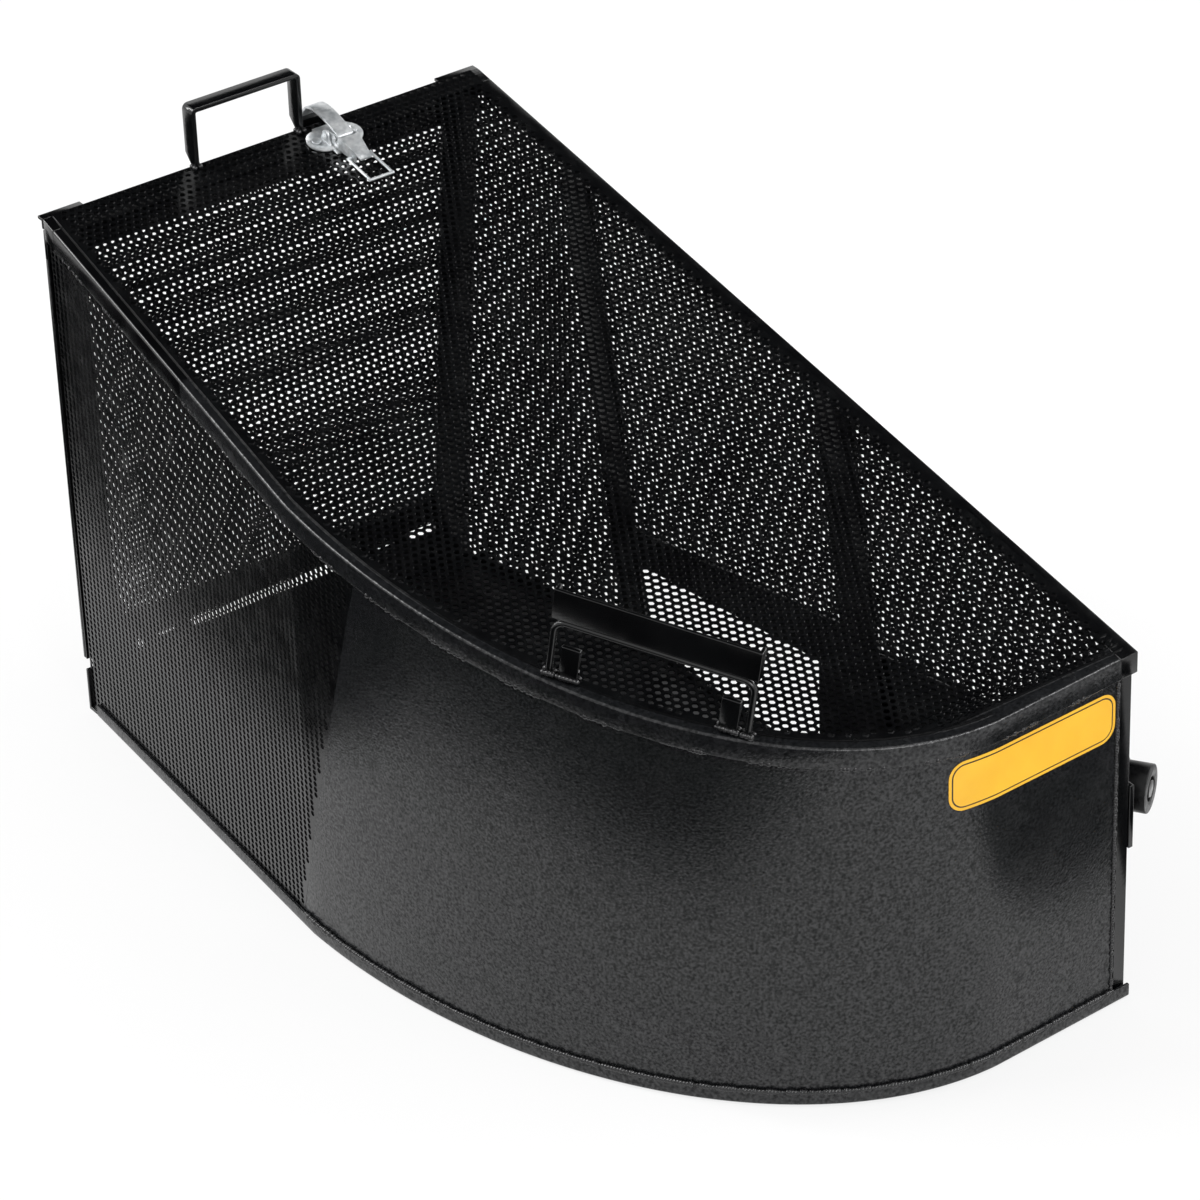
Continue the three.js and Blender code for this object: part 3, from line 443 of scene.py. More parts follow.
def makeNosePanel():
    rows, columns = nosePanel["rows"], catcher["noseSteps"]
    end = frontAlong(rims["frontEnd"])
    depths = (catcher["wallDepth"], catcher["wallDepth"] + catcher["sheet"])
    points, faces = [], []
    for depth in depths:
        for i in range(columns + 1):
            for j in range(rows + 1):
                start = seamAlong(j / rows)
                along = mix(start, end, i / columns)
                x, y = pathPoint(along, depth)
                z = mix(nosePanel["bottom"], topZ(y) - nosePanel["underRim"], j / rows)
                points.append(place(x, y, z))
    tall, layer = rows + 1, (rows + 1) * (columns + 1)
    for i in range(columns):
        for j in range(rows):
            a = i * tall + j
            face = (a, a + tall, a + tall + 1, a + 1)
            faces.append(face)
            faces.append(tuple(v + layer for v in reversed(face)))
    rim = [(i * tall, (i + 1) * tall) for i in range(columns)]
    rim += [(i * tall + rows, (i + 1) * tall + rows) for i in range(columns)]
    rim += [(j, j + 1) for j in range(rows)]
    rim += [(columns * tall + j, columns * tall + j + 1) for j in range(rows)]
    faces += [(a, b, b + layer, a + layer) for a, b in rim]
    shaped("nosePanel", meshFrom("nosePanel", points, faces), panelCoat, "nose_panel")


makeNosePanel()
print("nose panel ready")


# Perforated sheets: loops of narrow strips and the holes' centres go in, and the tree punches
# the holes, fills the strips round them and gives the sheet its thickness
def perforationTree():
    tree = bpy.data.node_groups.new("perforations", "GeometryNodeTree")
    face = tree.interface
    face.new_socket("Geometry", in_out="INPUT", socket_type="NodeSocketGeometry")
    for label in ("Hole radius", "Thickness"):
        face.new_socket(label, in_out="INPUT", socket_type="NodeSocketFloat")
    face.new_socket("Hole sides", in_out="INPUT", socket_type="NodeSocketInt")
    face.new_socket("Coat", in_out="INPUT", socket_type="NodeSocketMaterial")
    face.new_socket("Geometry", in_out="OUTPUT", socket_type="NodeSocketGeometry")
    given = addNode(tree, "NodeGroupInput").outputs
    isHole = addNode(tree, "GeometryNodeInputNamedAttribute", {"Name": "hole"}, data_type="FLOAT")
    links = {0: isHole.outputs[0], 1: 0.5}
    chosen = addNode(tree, "FunctionNodeCompare", links, operation="GREATER_THAN")
    links = {0: given["Geometry"], 1: chosen.outputs[0]}
    parts = addNode(tree, "GeometryNodeSeparateGeometry", links, domain="POINT").outputs
    centres = addNode(tree, "GeometryNodeMeshToPoints", {0: parts[0]})
    links = {"Resolution": given["Hole sides"], "Radius": given["Hole radius"]}
    ring = addNode(tree, "GeometryNodeCurvePrimitiveCircle", links, mode="RADIUS")
    turn = (0, 0, math.pi / 6)  # half a side of a six-sided hole
    links = {"Points": centres.outputs[0], "Instance": ring.outputs[0], "Rotation": turn}
    rings = addNode(tree, "GeometryNodeInstanceOnPoints", links)
    real = addNode(tree, "GeometryNodeRealizeInstances", {0: rings.outputs[0]})
    strips = addNode(tree, "GeometryNodeMeshToCurve", {0: parts[1]})
    loops = addNode(tree, "GeometryNodeJoinGeometry")
    for source in (real, strips):
        tree.links.new(source.outputs[0], loops.inputs[0])
    number = addNode(tree, "GeometryNodeInputNamedAttribute", {"Name": "strip"}, data_type="INT")
    links = {"Curve": loops.outputs[0], "Group ID": number.outputs[0]}
    filled = addNode(tree, "GeometryNodeFillCurve", links)
    links = {"Geometry": filled.outputs[0], "Distance": tools["holeJoin"]}
    whole = addNode(tree, "GeometryNodeMergeByDistance", links).outputs[0]
    links = {"Mesh": whole, "Offset": (0, 0, 1), "Offset Scale": given["Thickness"],
             "Individual": False}
    upper = addNode(tree, "GeometryNodeExtrudeMesh", links, mode="FACES")
    under = addNode(tree, "GeometryNodeFlipFaces", {0: whole})
    sides = addNode(tree, "GeometryNodeJoinGeometry")
    for source in (upper, under):
        tree.links.new(source.outputs[0], sides.inputs[0])
    links = {"Geometry": sides.outputs[0], "Distance": tools["holeJoin"]}
    closed = addNode(tree, "GeometryNodeMergeByDistance", links)
    plain = addNode(tree, "GeometryNodeRealizeInstances", {0: closed.outputs[0]})
    links = {"Geometry": plain.outputs[0], "Material": given["Coat"]}
    coated = addNode(tree, "GeometryNodeSetMaterial", links).outputs[0]
    addNode(tree, "NodeGroupOutput", {0: coated})
    return tree


perforate = perforationTree()


def setInputs(modifier, values):
    items = modifier.node_group.interface.items_tree
    sockets = {item.name: item.identifier for item in items if item.in_out == "INPUT"}
    for label, value in values.items():
        modifier[sockets[label]] = value


# Where a level line crosses a convex outline
def crossing(outline, level):
    found = []
    for (u0, v0), (u1, v1) in zip(outline, outline[1:] + outline[:1]):
        if min(v0, v1) - 1e-9 <= level <= max(v0, v1) + 1e-9:
            if abs(v1 - v0) < 1e-9:
                found += [u0, u1]
            else:
                found.append(u0 + (u1 - u0) * (level - v0) / (v1 - v0))
    return min(found), max(found)


def stripLoops(outline, look):
    lowest, highest = min(v for _, v in outline), max(v for _, v in outline)
    count = max(round((highest - lowest) / look["rowPitch"]), 1)
    step = (highest - lowest) / count
    middle = (min(u for u, _ in outline) + max(u for u, _ in outline)) / 2
    reach = look["holeRadius"] + look["band"]
    loops, centres = [], []
    for row in range(count):
        low, high = lowest + row * step, lowest + (row + 1) * step
        (a0, a1), (b0, b1) = crossing(outline, low), crossing(outline, high)
        between = [(u, v) for u, v in outline if low + 1e-6 < v < high - 1e-6]
        right = sorted([p for p in between if p[0] > middle], key=lambda p: p[1])
        left = sorted([p for p in between if p[0] <= middle], key=lambda p: -p[1])
        loop = [(a0, low), (a1, low), *right, (b1, high), (b0, high), *left]
        loops.append([p for i, p in enumerate(loop) if math.dist(p, loop[i - 1]) > 1e-4])
        v = (low + high) / 2
        c0, c1 = crossing(outline, v)
        left, right = max(a0, b0, c0) + reach, min(a1, b1, c1) - reach
        offset = (row % 2) * look["stagger"] * look["pitch"]
        first = math.ceil((left - middle - offset) / look["pitch"])
        while middle + offset + first * look["pitch"] <= right:
            centres.append((middle + offset + first * look["pitch"], v, row))
            first += 1
    return loops, centres


def perforated(name, node, body, outline, look, placeOf):
    loops, centres = stripLoops(outline, look)
    points, edges, strips, holes = [], [], [], []
    for row, loop in enumerate(loops):
        start = len(points)
        points += [(u / 1000, v / 1000, 0) for u, v in loop]
        edges += [(start + i, start + (i + 1) % len(loop)) for i in range(len(loop))]
        strips += [row] * len(loop)
        holes += [0.0] * len(loop)
    for u, v, row in centres:
        points.append((u / 1000, v / 1000, 0))
        strips.append(row)
        holes.append(1.0)
    mesh = bpy.data.meshes.new(name + "Strips")
    mesh.from_pydata(points, edges, [])
    mesh.attributes.new("strip", "INT", "POINT").data.foreach_set("value", strips)
    mesh.attributes.new("hole", "FLOAT", "POINT").data.foreach_set("value", holes)
    helper = bpy.data.objects.new(name + "Helper", mesh)
    bpy.context.scene.collection.objects.link(helper)
    modifier = helper.modifiers.new("punch", "NODES")
    modifier.node_group = perforate
    setInputs(modifier, {"Hole radius": look["holeRadius"] / 1000,
                         "Thickness": catcher["screen"] / 1000,
                         "Hole sides": look["sides"], "Coat": screenCoat})
    sheet = applied(helper)
    for vertex in sheet.vertices:
        u, v, w = (c * 1000 for c in vertex.co)
        vertex.co = placeOf(u, v, w)
    for attribute in ("strip", "hole"):
        if attribute in sheet.attributes:
            sheet.attributes.remove(sheet.attributes[attribute])
    shell = bmesh.new()
    shell.from_mesh(sheet)
    if shell.calc_volume(signed=True) < 0:
        bmesh.ops.reverse_faces(shell, faces=shell.faces)
    shell.to_mesh(sheet)
    shell.free()
    piece = newPiece(name, sheet, body)
    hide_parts(node)
    print(name, len(centres), "holes")
    return piece


# Round holes in rows that step by half a pitch, as punched for the top, rear and mower side.
# A six-sided hole of the same area keeps thousands of them light.
roundPunch = {"pitch": 6.9, "rowPitch": 5.98, "stagger": 0.5, "holeRadius": 2.65, "sides": 6,
              "band": 0.7}
# Straight rows on the outer side: pitch runs up the wall, row pitch along it
straightPunch = {"pitch": 4.95, "rowPitch": 6.5, "stagger": 0, "holeRadius": 2.45, "sides": 6,
                 "band": 0.7}
screens = {
    "topMargin": 8, "topRear": 0.3, "topLift": 0.3, "wallFoot": 2.8, "underRim": 2.8,
    "seamGap": 0.6,
    "wheelTuck": 32, "postLean": 0.17, "postTop": 114, "baseRise": 11,
    "headerRear": 101.5, "headerFront": 139, "postMiddle": 423, "frontPost": 10,
    "doorFoot": 46, "doorHead": 430, "doorMargin": 2, "doorFace": 0.3,
}
wheelRun = screens["postTop"] + screens["postLean"] * catcher["rearHeight"]


def underRim(y):
    return topZ(y) - screens["underRim"]


# How far the mower side leans in, to clear the mower's rear wheel
def tuckAt(y, z):
    rise = max(z - screens["baseRise"], 0)
    along = min(max(1 - (rearY - y) / (wheelRun - screens["postLean"] * rise), 0), 1)
    return screens["wheelTuck"] * along * (1 - rise / (catcher["rearHeight"] - screens["baseRise"]))


def topOutline():
    margin, frontX = screens["topMargin"], innerX - screens["topMargin"]
    points = [(frontX, rearY - screens["topRear"])]
    points += [(pathPoint(0, margin)[0], rearY - screens["topRear"])]
    points += [pathPoint(s, margin) for s in pathAt[1:-1:3]]
    frontStart, frontEnd = pathPoint(pathAt[-2], margin), pathPoint(pathAt[-1], margin)
    share = (frontX - frontStart[0]) / (frontEnd[0] - frontStart[0])
    points.append((frontX, mix(frontStart[1], frontEnd[1], share)))
    return points


def placeTop(u, v, w):
    return place(u, v, topZ(v) + screens["topLift"] + w)


# On the outer wall u runs up and v runs forward along the path
def outerOutline():
    foot, rear = screens["wallFoot"], alongAtRear(screens["wallFoot"])
    bottom, top = seamAlong(0) - screens["seamGap"], seamAlong(1) - screens["seamGap"]
    heads = [(underRim(pathPoint(s, 0)[1]), s) for s in (rear, pathAt[1], top)]
    return [(foot, rear), *heads, (foot, bottom)]


def placeOuter(u, v, w):
    x, y = pathPoint(v, catcher["wallDepth"] + catcher["screen"] - w)
    return place(x, y, u)


def foldAt(z):
    rise = max(z - screens["baseRise"], 0)
    return rearY - (screens["postTop"] + screens["postLean"] * (catcher["rearHeight"] - rise))


def headerLine(y):
    share = (rearY - wheelRun - y) / (screens["postMiddle"] - wheelRun)
    return mix(screens["headerRear"], screens["headerFront"], share)


# On the mower side u runs up and v runs from the front to the rear
def mowerRearOutline():
    foot, back = screens["wallFoot"], rearY - catcher["wallDepth"]
    fold = foldAt(foot) + catcher["seat"]
    topFold = foldAt(catcher["rearHeight"]) + catcher["seat"]
    return [(foot, fold), (screens["baseRise"], fold), (underRim(topFold), topFold),
            (underRim(back), back), (foot, back)]


def placeMowerRear(u, v, w):
    return place(innerX - catcher["wallDepth"] - catcher["screen"] + w - tuckAt(v, u), v, u)


def mowerFrontOutline():
    gap = catcher["seat"]
    end = -rearY + catcher["frontRake"] + catcher["wallDepth"] + screens["frontPost"] + gap
    lowRear = foldAt(headerLine(rearY - wheelRun)) - gap
    topRear = foldAt(catcher["rearHeight"]) - gap
    return [(headerLine(end) + gap, end), (underRim(end), end), (underRim(topRear), topRear),
            (headerLine(lowRear) + gap, lowRear)]


def placeMowerFront(u, v, w):
    return place(innerX - catcher["wallDepth"] - catcher["screen"] + w, v, u)


def doorOutline():
    left, foot, head = -innerX + screens["doorMargin"], screens["doorFoot"], screens["doorHead"]
    right = [(innerX - tuckAt(rearY, z) - screens["doorMargin"], z) for z in (foot, head)]
    return [(left, foot), *right, (left, head)]


def placeDoor(u, v, w):
    return place(u, rearY + screens["doorFace"] + catcher["screen"] - w, v)


perforated("topScreen", "top_screen", "catcher", topOutline(), roundPunch, placeTop)
perforated("outerScreen", "outer_screen", "catcher", outerOutline(), straightPunch, placeOuter)
perforated("mowerSideScreenRear", "mower_side_screen_rear", "catcher", mowerRearOutline(),
           roundPunch, placeMowerRear)
perforated("mowerSideScreenFront", "mower_side_screen_front", "catcher", mowerFrontOutline(),
           roundPunch, placeMowerFront)
perforated("doorScreen", "door_screen", "door", doorOutline(), roundPunch, placeDoor)

door = {
    "edge": 0.35, "hingeEdge": 0.25,
    "parts": ["door_bar_foot", "door_bar_head", "door_bar_outer", "door_bar_mower_side",
              "door_hinge_leaf_outer", "door_hinge_leaf_mower_side", "latch_keeper"],
    "hinges": ["hinge_leaf_outer", "hinge_leaf_mower_side", "hinge_pin_outer",
               "hinge_pin_mower_side"],
}
for node in door["parts"]:
    eased(pieceName(node), node, "door", frameCoat, door["edge"])
for node in door["hinges"]:
    eased(pieceName(node), node, "catcher", frameCoat, door["hingeEdge"])
print("door and hinges ready")


# The front handle's two feet are given by their distances from the outer side and the front
frontHandle = {
    "rodRadius": 2.5, "span": 147, "legs": 43.5, "bend": 9, "bendSteps": 8, "lift": 2.5,
    "sides": 16, "edge": 0.6, "near": (34, 190), "far": (104, 83),
}
rearHandle = {"centre": -18, "reach": 47.5, "edge": 0.5}


def handleFrame():
    points = []
    for fromSide, fromFront in (frontHandle["near"], frontHandle["far"]):
        y = -rearY + fromFront
        points.append(Vector((-innerX + fromSide, y, topZ(y))))
    along = (points[1] - points[0]).normalized()
    level = Vector((0, 0, 1)).cross(along).normalized()
    return (points[0] + points[1]) / 2, along, level, along.cross(level)


def makeFrontRod():
    centre, along, level, up = handleFrame()
    half, radius, bend = frontHandle["span"] / 2, frontHandle["rodRadius"], frontHandle["bend"]
    foot, crown = frontHandle["lift"], frontHandle["lift"] + frontHandle["legs"]
    line = [(-half, foot), (-half, (foot + crown) / 2)]
    for i in range(frontHandle["bendSteps"] + 1):
        angle = math.pi - math.pi / 2 * i / frontHandle["bendSteps"]
        line.append((-half + bend + bend * math.cos(angle), crown - bend + bend * math.sin(angle)))
    line += [(-a, h) for a, h in reversed(line)]
    points, faces = [], []
    sides = frontHandle["sides"]
    for i, (a, h) in enumerate(line):
        before, after = Vector(line[max(i - 1, 0)]), Vector(line[min(i + 1, len(line) - 1)])
        run = (after - before).normalized()
        for k in range(sides):
            angle = 2 * math.pi * k / sides
            off, aside = radius * math.cos(angle), radius * math.sin(angle)
            p = centre + along * (a - run.y * off) + up * (h + run.x * off) + level * aside
            points.append(place(*p))
    for i in range(len(line) - 1):
        for k in range(sides):
            n = (k + 1) % sides
            faces.append((i * sides + k, i * sides + n, (i + 1) * sides + n, (i + 1) * sides + k))
    faces.append(tuple(range(sides)))
    faces.append(tuple((len(line) - 1) * sides + k for k in reversed(range(sides))))
    mesh = meshFrom("frontHandleRod", points, faces)
    shaped("frontHandleRod", mesh, frameCoat, "front_handle_rod")


makeFrontRod()
eased("rearHandle", "rear_handle", "catcher", frameCoat, rearHandle["edge"])
for node in ("front_handle_grip", "front_handle_lug_near", "front_handle_lug_far"):
    eased(pieceName(node), node, "catcher", frameCoat, frontHandle["edge"])
print("handles ready")


# Each node of the latch rides on a body and has its edges eased by so much
latchNodes = {
    "latch_base": ("catcher", 0.3), "latch_rivet_outer": ("catcher", 0.5),
    "latch_rivet_mower_side": ("catcher", 0.5), "latch_pivot_pin": ("catcher", 0.3),
    "latch_lever": ("latch_lever", 0.3), "latch_strap_pin": ("latch_lever", 0.3),
    "latch_strap": ("latch_strap", 0.3), "latch_wire": ("latch_wire", 0.25),
}
for node, (body, edge) in latchNodes.items():
    eased(pieceName(node), node, body, zinc, edge)
rollerEdge = 0.7
hitchNodes = {"hitch_bracket": 0.6, "hitch_nut": 0.6, "hitch_bolt": 0.6, "hitch_washer": 0.2}
for node, edge in hitchNodes.items():
    eased(pieceName(node), node, "catcher", frameCoat, edge)
eased("hitchRoller", "hitch_roller", "hitch_roller", roller, rollerEdge)
print("latch and hitch ready")


# Weld beads are ripples laid along short runs, each a little wider or narrower than the last
welds = {
    "ripple": 2.4, "width": 4.0, "lap": 2.0, "least": 0.65, "most": 1.35, "seed": 7,
    "stitch": 30, "stitchPitch": 62, "firstStitch": 30, "stitchDepth": 1.7, "baseDepth": 1.3,
    "baseStart": 6, "cornerGap": 0.2, "cornerFoot": 13, "cornerShare": 0.8,
    "rodRun": 3.2, "lugReach": 59, "lugRun": 7, "aside": 2.6,
    "rearAside": 2.4, "rearFrom": 5.5, "rearTo": 1.5, "rearLift": 2.2, "rearShare": 0.9,
}


def weldTree():
    tree = bpy.data.node_groups.new("weldBead", "GeometryNodeTree")
    face = tree.interface
    face.new_socket("Geometry", in_out="INPUT", socket_type="NodeSocketGeometry")
    for label in ("Ripple", "Bead width", "Least", "Most"):
        face.new_socket(label, in_out="INPUT", socket_type="NodeSocketFloat")
    face.new_socket("Seed", in_out="INPUT", socket_type="NodeSocketInt")
    face.new_socket("Coat", in_out="INPUT", socket_type="NodeSocketMaterial")
    face.new_socket("Geometry", in_out="OUTPUT", socket_type="NodeSocketGeometry")
    given = addNode(tree, "NodeGroupInput").outputs
    run = addNode(tree, "GeometryNodeMeshToCurve", {0: given["Geometry"]})
    links = {"Curve": run.outputs[0], "Length": given["Ripple"]}
    spaced = addNode(tree, "GeometryNodeResampleCurve", links, mode="LENGTH")
    drop = addNode(tree, "GeometryNodeMeshIcoSphere", {"Radius": 0.5, "Subdivisions": 2})
    tangent = addNode(tree, "GeometryNodeInputTangent")
    links = {"Vector": tangent.outputs[0]}
    aligned = addNode(tree, "FunctionNodeAlignRotationToVector", links, axis="X")
    spread = addNode(tree, "FunctionNodeRandomValue", {"Seed": given["Seed"]}, data_type="FLOAT")
    for label, source in (("Min", "Least"), ("Max", "Most")):
        socket = [s for s in spread.inputs if s.enabled and s.name == label][0]
        tree.links.new(given[source], socket)
    share = [s for s in spread.outputs if s.enabled][0]
    width = addNode(tree, "ShaderNodeMath", {0: given["Bead width"], 1: share},
                    operation="MULTIPLY").outputs[0]
    length = addNode(tree, "ShaderNodeMath", {0: given["Ripple"], 1: welds["lap"]},
                     operation="MULTIPLY").outputs[0]
    scale = addNode(tree, "ShaderNodeCombineXYZ", {0: length, 1: width, 2: width})
    links = {"Points": spaced.outputs[0], "Instance": drop.outputs[0],
             "Rotation": aligned.outputs[0], "Scale": scale.outputs[0]}
    drops = addNode(tree, "GeometryNodeInstanceOnPoints", links)
    real = addNode(tree, "GeometryNodeRealizeInstances", {0: drops.outputs[0]})
    soft = addNode(tree, "GeometryNodeSetShadeSmooth", {"Geometry": real.outputs[0]})
    links = {"Geometry": soft.outputs[0], "Material": given["Coat"]}
    coated = addNode(tree, "GeometryNodeSetMaterial", links)
    addNode(tree, "NodeGroupOutput", {0: coated.outputs[0]})
    return tree


weldBead = weldTree()


def weld(name, runs, share, seed):
    points, edges = [], []
    for run in runs:
        start = len(points)
        points += [place(*p) for p in run]
        edges += [(start + i, start + i + 1) for i in range(len(run) - 1)]
    mesh = bpy.data.meshes.new(name + "Runs")
    mesh.from_pydata(points, edges, [])
    helper = bpy.data.objects.new(name + "Helper", mesh)
    bpy.context.scene.collection.objects.link(helper)
    modifier = helper.modifiers.new("bead", "NODES")
    modifier.node_group = weldBead
    setInputs(modifier, {"Ripple": welds["ripple"] / 1000,
                         "Bead width": welds["width"] * share / 1000,
                         "Least": welds["least"], "Most": welds["most"],
                         "Seed": seed, "Coat": weldCoat})
    newPiece(name, applied(helper), "catcher")


def pathRun(start, end, depth, heightOf, step=4):
    count = max(int((end - start) / step), 2)
    run = []
    for i in range(count + 1):
        x, y = pathPoint(mix(start, end, i / count), depth)
        run.append((x, y, heightOf(y)))
    return run


def underFlange(y):
    return topZ(y) - rims["drop"]


def overBase(y):
    return rims["baseRise"]


def makeWelds():
    seed, noseEnd = welds["seed"], frontAlong(rims["frontEnd"])
    stitches = []
    at = alongAtRear(welds["firstStitch"])
    while at + welds["stitch"] < noseEnd:
        stitches.append(pathRun(at, at + welds["stitch"], welds["stitchDepth"], underFlange))
        at += welds["stitchPitch"]
    weld("weldUnderTopRim", stitches, 1, seed)
    baseRun = pathRun(seamAlong(0) + welds["baseStart"], noseEnd, welds["baseDepth"], overBase)
    weld("weldBaseRim", [baseRun], 1, seed + 1)
    corner = frontAlong(rims["frontEnd"] + welds["cornerGap"])
    x, y = pathPoint(corner, catcher["wallDepth"])
    cornerRun = [(x, y, welds["cornerFoot"]), (x, y, topZ(y) - rims["drop"] - 1)]
    weld("weldFrontCorner", [cornerRun], welds["cornerShare"], seed + 2)
    centre, along, level, up = handleFrame()
    aside = welds["aside"]
    spots = []
    for side in (-1, 1):
        for reach, half in ((frontHandle["span"] / 2, welds["rodRun"]),
                            (welds["lugReach"], welds["lugRun"])):
            for across in (-aside, aside):
                foot = centre + level * across + up * aside
                a = foot + along * (side * reach - half)
                b = foot + along * (side * reach + half)
                spots.append([tuple(a), tuple((a + b) / 2), tuple(b)])
    weld("weldFrontHandle", spots, 1, seed + 3)
    footZ = topZ(rearY) + welds["rearLift"]
    feet = []
    for side in (-1, 1):
        for off in (-welds["rearAside"], welds["rearAside"]):
            x = rearHandle["centre"] + side * rearHandle["reach"] + off
            ends = (rearY - welds["rearFrom"], rearY - welds["rearTo"])
            feet.append([(x, y, footZ) for y in ends])
    weld("weldRearHandle", feet, welds["rearShare"], seed + 4)


makeWelds()
print("welds ready")


# The label under the rim is a bare film with a thin dark line inside its edge: start and end
# are along the path, foot and head are heights, and each film lies a little further out
label = {
    "start": 915, "end": 1068, "foot": 233, "head": 274, "radius": 13, "cornerSteps": 8,
    "border": 2.4, "line": 1.1, "columns": 40, "film": 0.15, "lifts": (0.12, 0.2, 0.28),
    "sharpOver": 30,
}


def labelLoop(grow):
    start, end = label["start"] - grow, label["end"] + grow
    foot, head = label["foot"] - grow, label["head"] + grow
    radius = label["radius"] + grow
    loop = []
    corners = ((end - radius, head - radius, 0), (start + radius, head - radius, 90),
               (start + radius, foot + radius, 180), (end - radius, foot + radius, 270))
    for s, z, first in corners:
        for i in range(label["cornerSteps"] + 1):
            angle = math.radians(first + 90 * i / label["cornerSteps"])
            loop.append((s + radius * math.cos(angle), z + radius * math.sin(angle)))
    return loop


def film(name, grow, lift, material):
    loop = labelLoop(grow)
    start, end = min(s for s, _ in loop), max(s for s, _ in loop)
    shell = bmesh.new()
    shell.faces.new([shell.verts.new((s, z, 0)) for s, z in loop])
    for i in range(1, label["columns"]):
        at = mix(start, end, i / label["columns"])
        bmesh.ops.bisect_plane(shell, geom=shell.verts[:] + shell.edges[:] + shell.faces[:],
                               plane_co=(at, 0, 0), plane_no=(1, 0, 0))
    for vertex in shell.verts:
        s, z, _ = vertex.co
        x, y = pathPoint(s, catcher["wallDepth"] - lift)
        vertex.co = place(x, y, z)
    mesh = bpy.data.meshes.new(name)
    shell.to_mesh(mesh)
    shell.free()
    helper = bpy.data.objects.new(name + "Helper", mesh)
    bpy.context.scene.collection.objects.link(helper)
    thick = helper.modifiers.new("thick", "SOLIDIFY")
    thick.thickness = label["film"] / 1000
    thick.offset = 0
    newPiece(name, applied(helper), "catcher", material, label["sharpOver"])


film("labelFace", 0, label["lifts"][0], yellowFilm)
film("labelLine", -label["border"], label["lifts"][1], darkFilm)
film("labelField", -label["border"] - label["line"], label["lifts"][2], yellowFilm)
print("label ready")


# Each lamp has its place, what it faces, its width and height in metres, and its watts
studio = {
    "floorReach": 12, "floorDrop": 0.0005, "cardLift": 0.0002, "paperGlow": 0.75,
    "skyLight": 0.45, "skySeen": 1.0,
    "lamps": {
        "keyLamp": ((-1.7, 1.3, 2.6), (0, 0, 0.2), (1.6, 1.2), 60),
        "sideLamp": ((2.8, -0.4, 1.6), (0, 0, 0.2), (1.2, 1.6), 30),
        "frontLamp": ((-0.2, -3.0, 1.6), (0, 0, 0.2), (1.8, 1.2), 30),
        "rearStrip": ((-1.7, 2.4, 1.7), (-0.2, 0.1, 0.4), (0.35, 1.8), 26),
        "frontStrip": ((1.3, -1.5, 2.2), (0, -0.3, 0.3), (1.8, 0.35), 24),
    },
    # Black cards that only reflections see, as a photographer flags a glossy black object
    "cards": {
        "roofCard": [(-0.6, -0.6, 3.2), (5.5, -0.6, 3.2), (5.5, 5.5, 3.2), (-0.6, 5.5, 3.2)],
        "floorCard": [(-0.3, 1.2, 0), (-2.6, 1.2, 0), (-2.6, -2.6, 0), (-0.35, -2.6, 0),
                      (-0.33, -0.9, 0), (-0.33, -0.7, 0), (-0.39, -0.42, 0), (-0.55, -0.12, 0),
                      (-0.55, 0.1, 0), (-0.33, 0.28, 0)],
        "hitchCard": [(0.18, -0.79, 0), (0.52, -0.79, 0), (0.52, -0.52, 0), (0.22, -0.52, 0)],
    },
}
view = {
    "from": (-1.9298, -2.80665, 2.3612), "right": (0.81100, -0.58428, -0.02986),
    "up": (0.33217, 0.41786, 0.84561), "lens": 162.19,
}


def makeCamera():
    camera = bpy.data.cameras.new("camera")
    camera.lens = view["lens"]
    camera.sensor_width = 36
    camera.clip_end = 60
    holder = bpy.data.objects.new("camera", camera)
    right, up = Vector(view["right"]), Vector(view["up"])
    back = right.cross(up)
    turn = Matrix((right, up, back)).transposed().to_4x4()
    holder.matrix_world = Matrix.Translation(Vector(view["from"])) @ turn
    bpy.context.scene.collection.objects.link(holder)
    bpy.context.scene.camera = holder


def addLamp(name, spot, aim, size, power):
    lamp = bpy.data.lights.new(name, "AREA")
    lamp.shape = "RECTANGLE"
    lamp.size, lamp.size_y = size
    lamp.energy = power
    holder = bpy.data.objects.new(name, lamp)
    holder.location = spot
    holder.rotation_euler = (Vector(aim) - Vector(spot)).to_track_quat("-Z", "Y").to_euler()
    bpy.context.scene.collection.objects.link(holder)


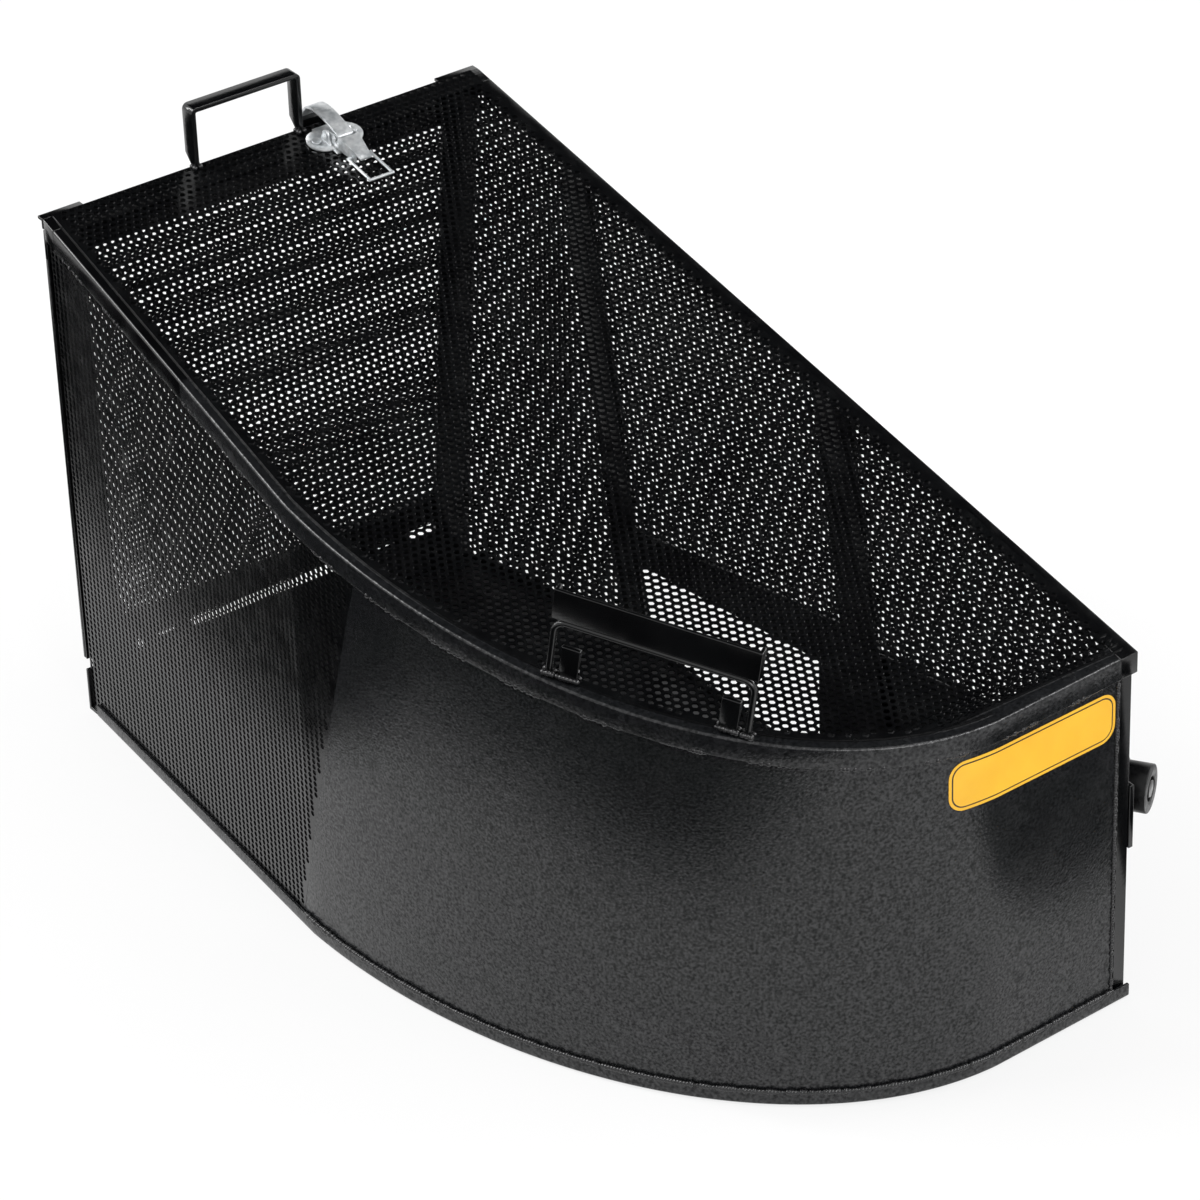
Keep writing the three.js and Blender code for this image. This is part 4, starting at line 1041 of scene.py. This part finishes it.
def makeStudio():
    scene = bpy.context.scene
    scene.view_settings.view_transform = "Standard"
    world = bpy.data.worlds.new("studio")
    scene.world = world
    world.use_nodes = True
    tree = world.node_tree
    tree.nodes.clear()
    path = addNode(tree, "ShaderNodeLightPath").outputs
    links = {0: path["Is Camera Ray"], 1: path["Is Transmission Ray"]}
    seen = addNode(tree, "ShaderNodeMath", links, operation="MAXIMUM")
    links = {0: seen.outputs[0], 1: path["Is Glossy Ray"]}
    seen = addNode(tree, "ShaderNodeMath", links, operation="MAXIMUM")
    links = {"Color": linear("#FFFFFF"), "Strength": studio["skyLight"]}
    dim = addNode(tree, "ShaderNodeBackground", links)
    links = {"Color": linear("#FFFFFF"), "Strength": studio["skySeen"]}
    white = addNode(tree, "ShaderNodeBackground", links)
    links = {0: seen.outputs[0], 1: dim.outputs[0], 2: white.outputs[0]}
    both = addNode(tree, "ShaderNodeMixShader", links)
    addNode(tree, "ShaderNodeOutputWorld", {0: both.outputs[0]})
    for name, lamp in studio["lamps"].items():
        addLamp(name, *lamp)


def makeFloor():
    mesh = bpy.data.meshes.new("floor")
    reach, level = studio["floorReach"], -studio["floorDrop"]
    corners = [(-reach, -reach, level), (reach, -reach, level), (reach, reach, level),
               (-reach, reach, level)]
    mesh.from_pydata(corners, [], [(0, 1, 2, 3)])
    floor = bpy.data.objects.new("floor", mesh)
    bpy.context.scene.collection.objects.link(floor)
    material = bpy.data.materials.new("studioPaper")
    material.use_nodes = True
    tree = material.node_tree
    tree.nodes.clear()
    matt = addNode(tree, "ShaderNodeBsdfDiffuse", {"Color": linear("#F2F2F2")})
    glow = addNode(tree, "ShaderNodeEmission", {"Color": linear("#FFFFFF"), "Strength": 1.0})
    path = addNode(tree, "ShaderNodeLightPath").outputs
    links = {0: path["Is Camera Ray"], 1: path["Is Glossy Ray"]}
    seen = addNode(tree, "ShaderNodeMath", links, operation="MAXIMUM")
    links = {0: seen.outputs[0], 1: studio["paperGlow"]}
    share = addNode(tree, "ShaderNodeMath", links, operation="MULTIPLY")
    links = {0: share.outputs[0], 1: matt.outputs[0], 2: glow.outputs[0]}
    both = addNode(tree, "ShaderNodeMixShader", links)
    addNode(tree, "ShaderNodeOutputMaterial", {0: both.outputs[0]})
    mesh.materials.append(material)


def addCard(name, corners):
    mesh = bpy.data.meshes.new(name)
    lifted = [Vector(c) + Vector((0, 0, studio["cardLift"])) for c in corners]
    mesh.from_pydata(lifted, [], [tuple(range(len(corners)))])
    card = bpy.data.objects.new(name, mesh)
    bpy.context.scene.collection.objects.link(card)
    for kind in ("camera", "diffuse", "shadow", "transmission", "volume_scatter"):
        setattr(card, "visible_" + kind, False)
    material, _, shader, _ = startMaterial(name)
    shader.inputs["Base Color"].default_value = linear("#050505")
    shader.inputs["Roughness"].default_value = 0.9
    shader.inputs["Specular IOR Level"].default_value = 0
    mesh.materials.append(material)


makeCamera()
makeStudio()
makeFloor()
for name, corners in studio["cards"].items():
    addCard(name, corners)
print("studio ready")
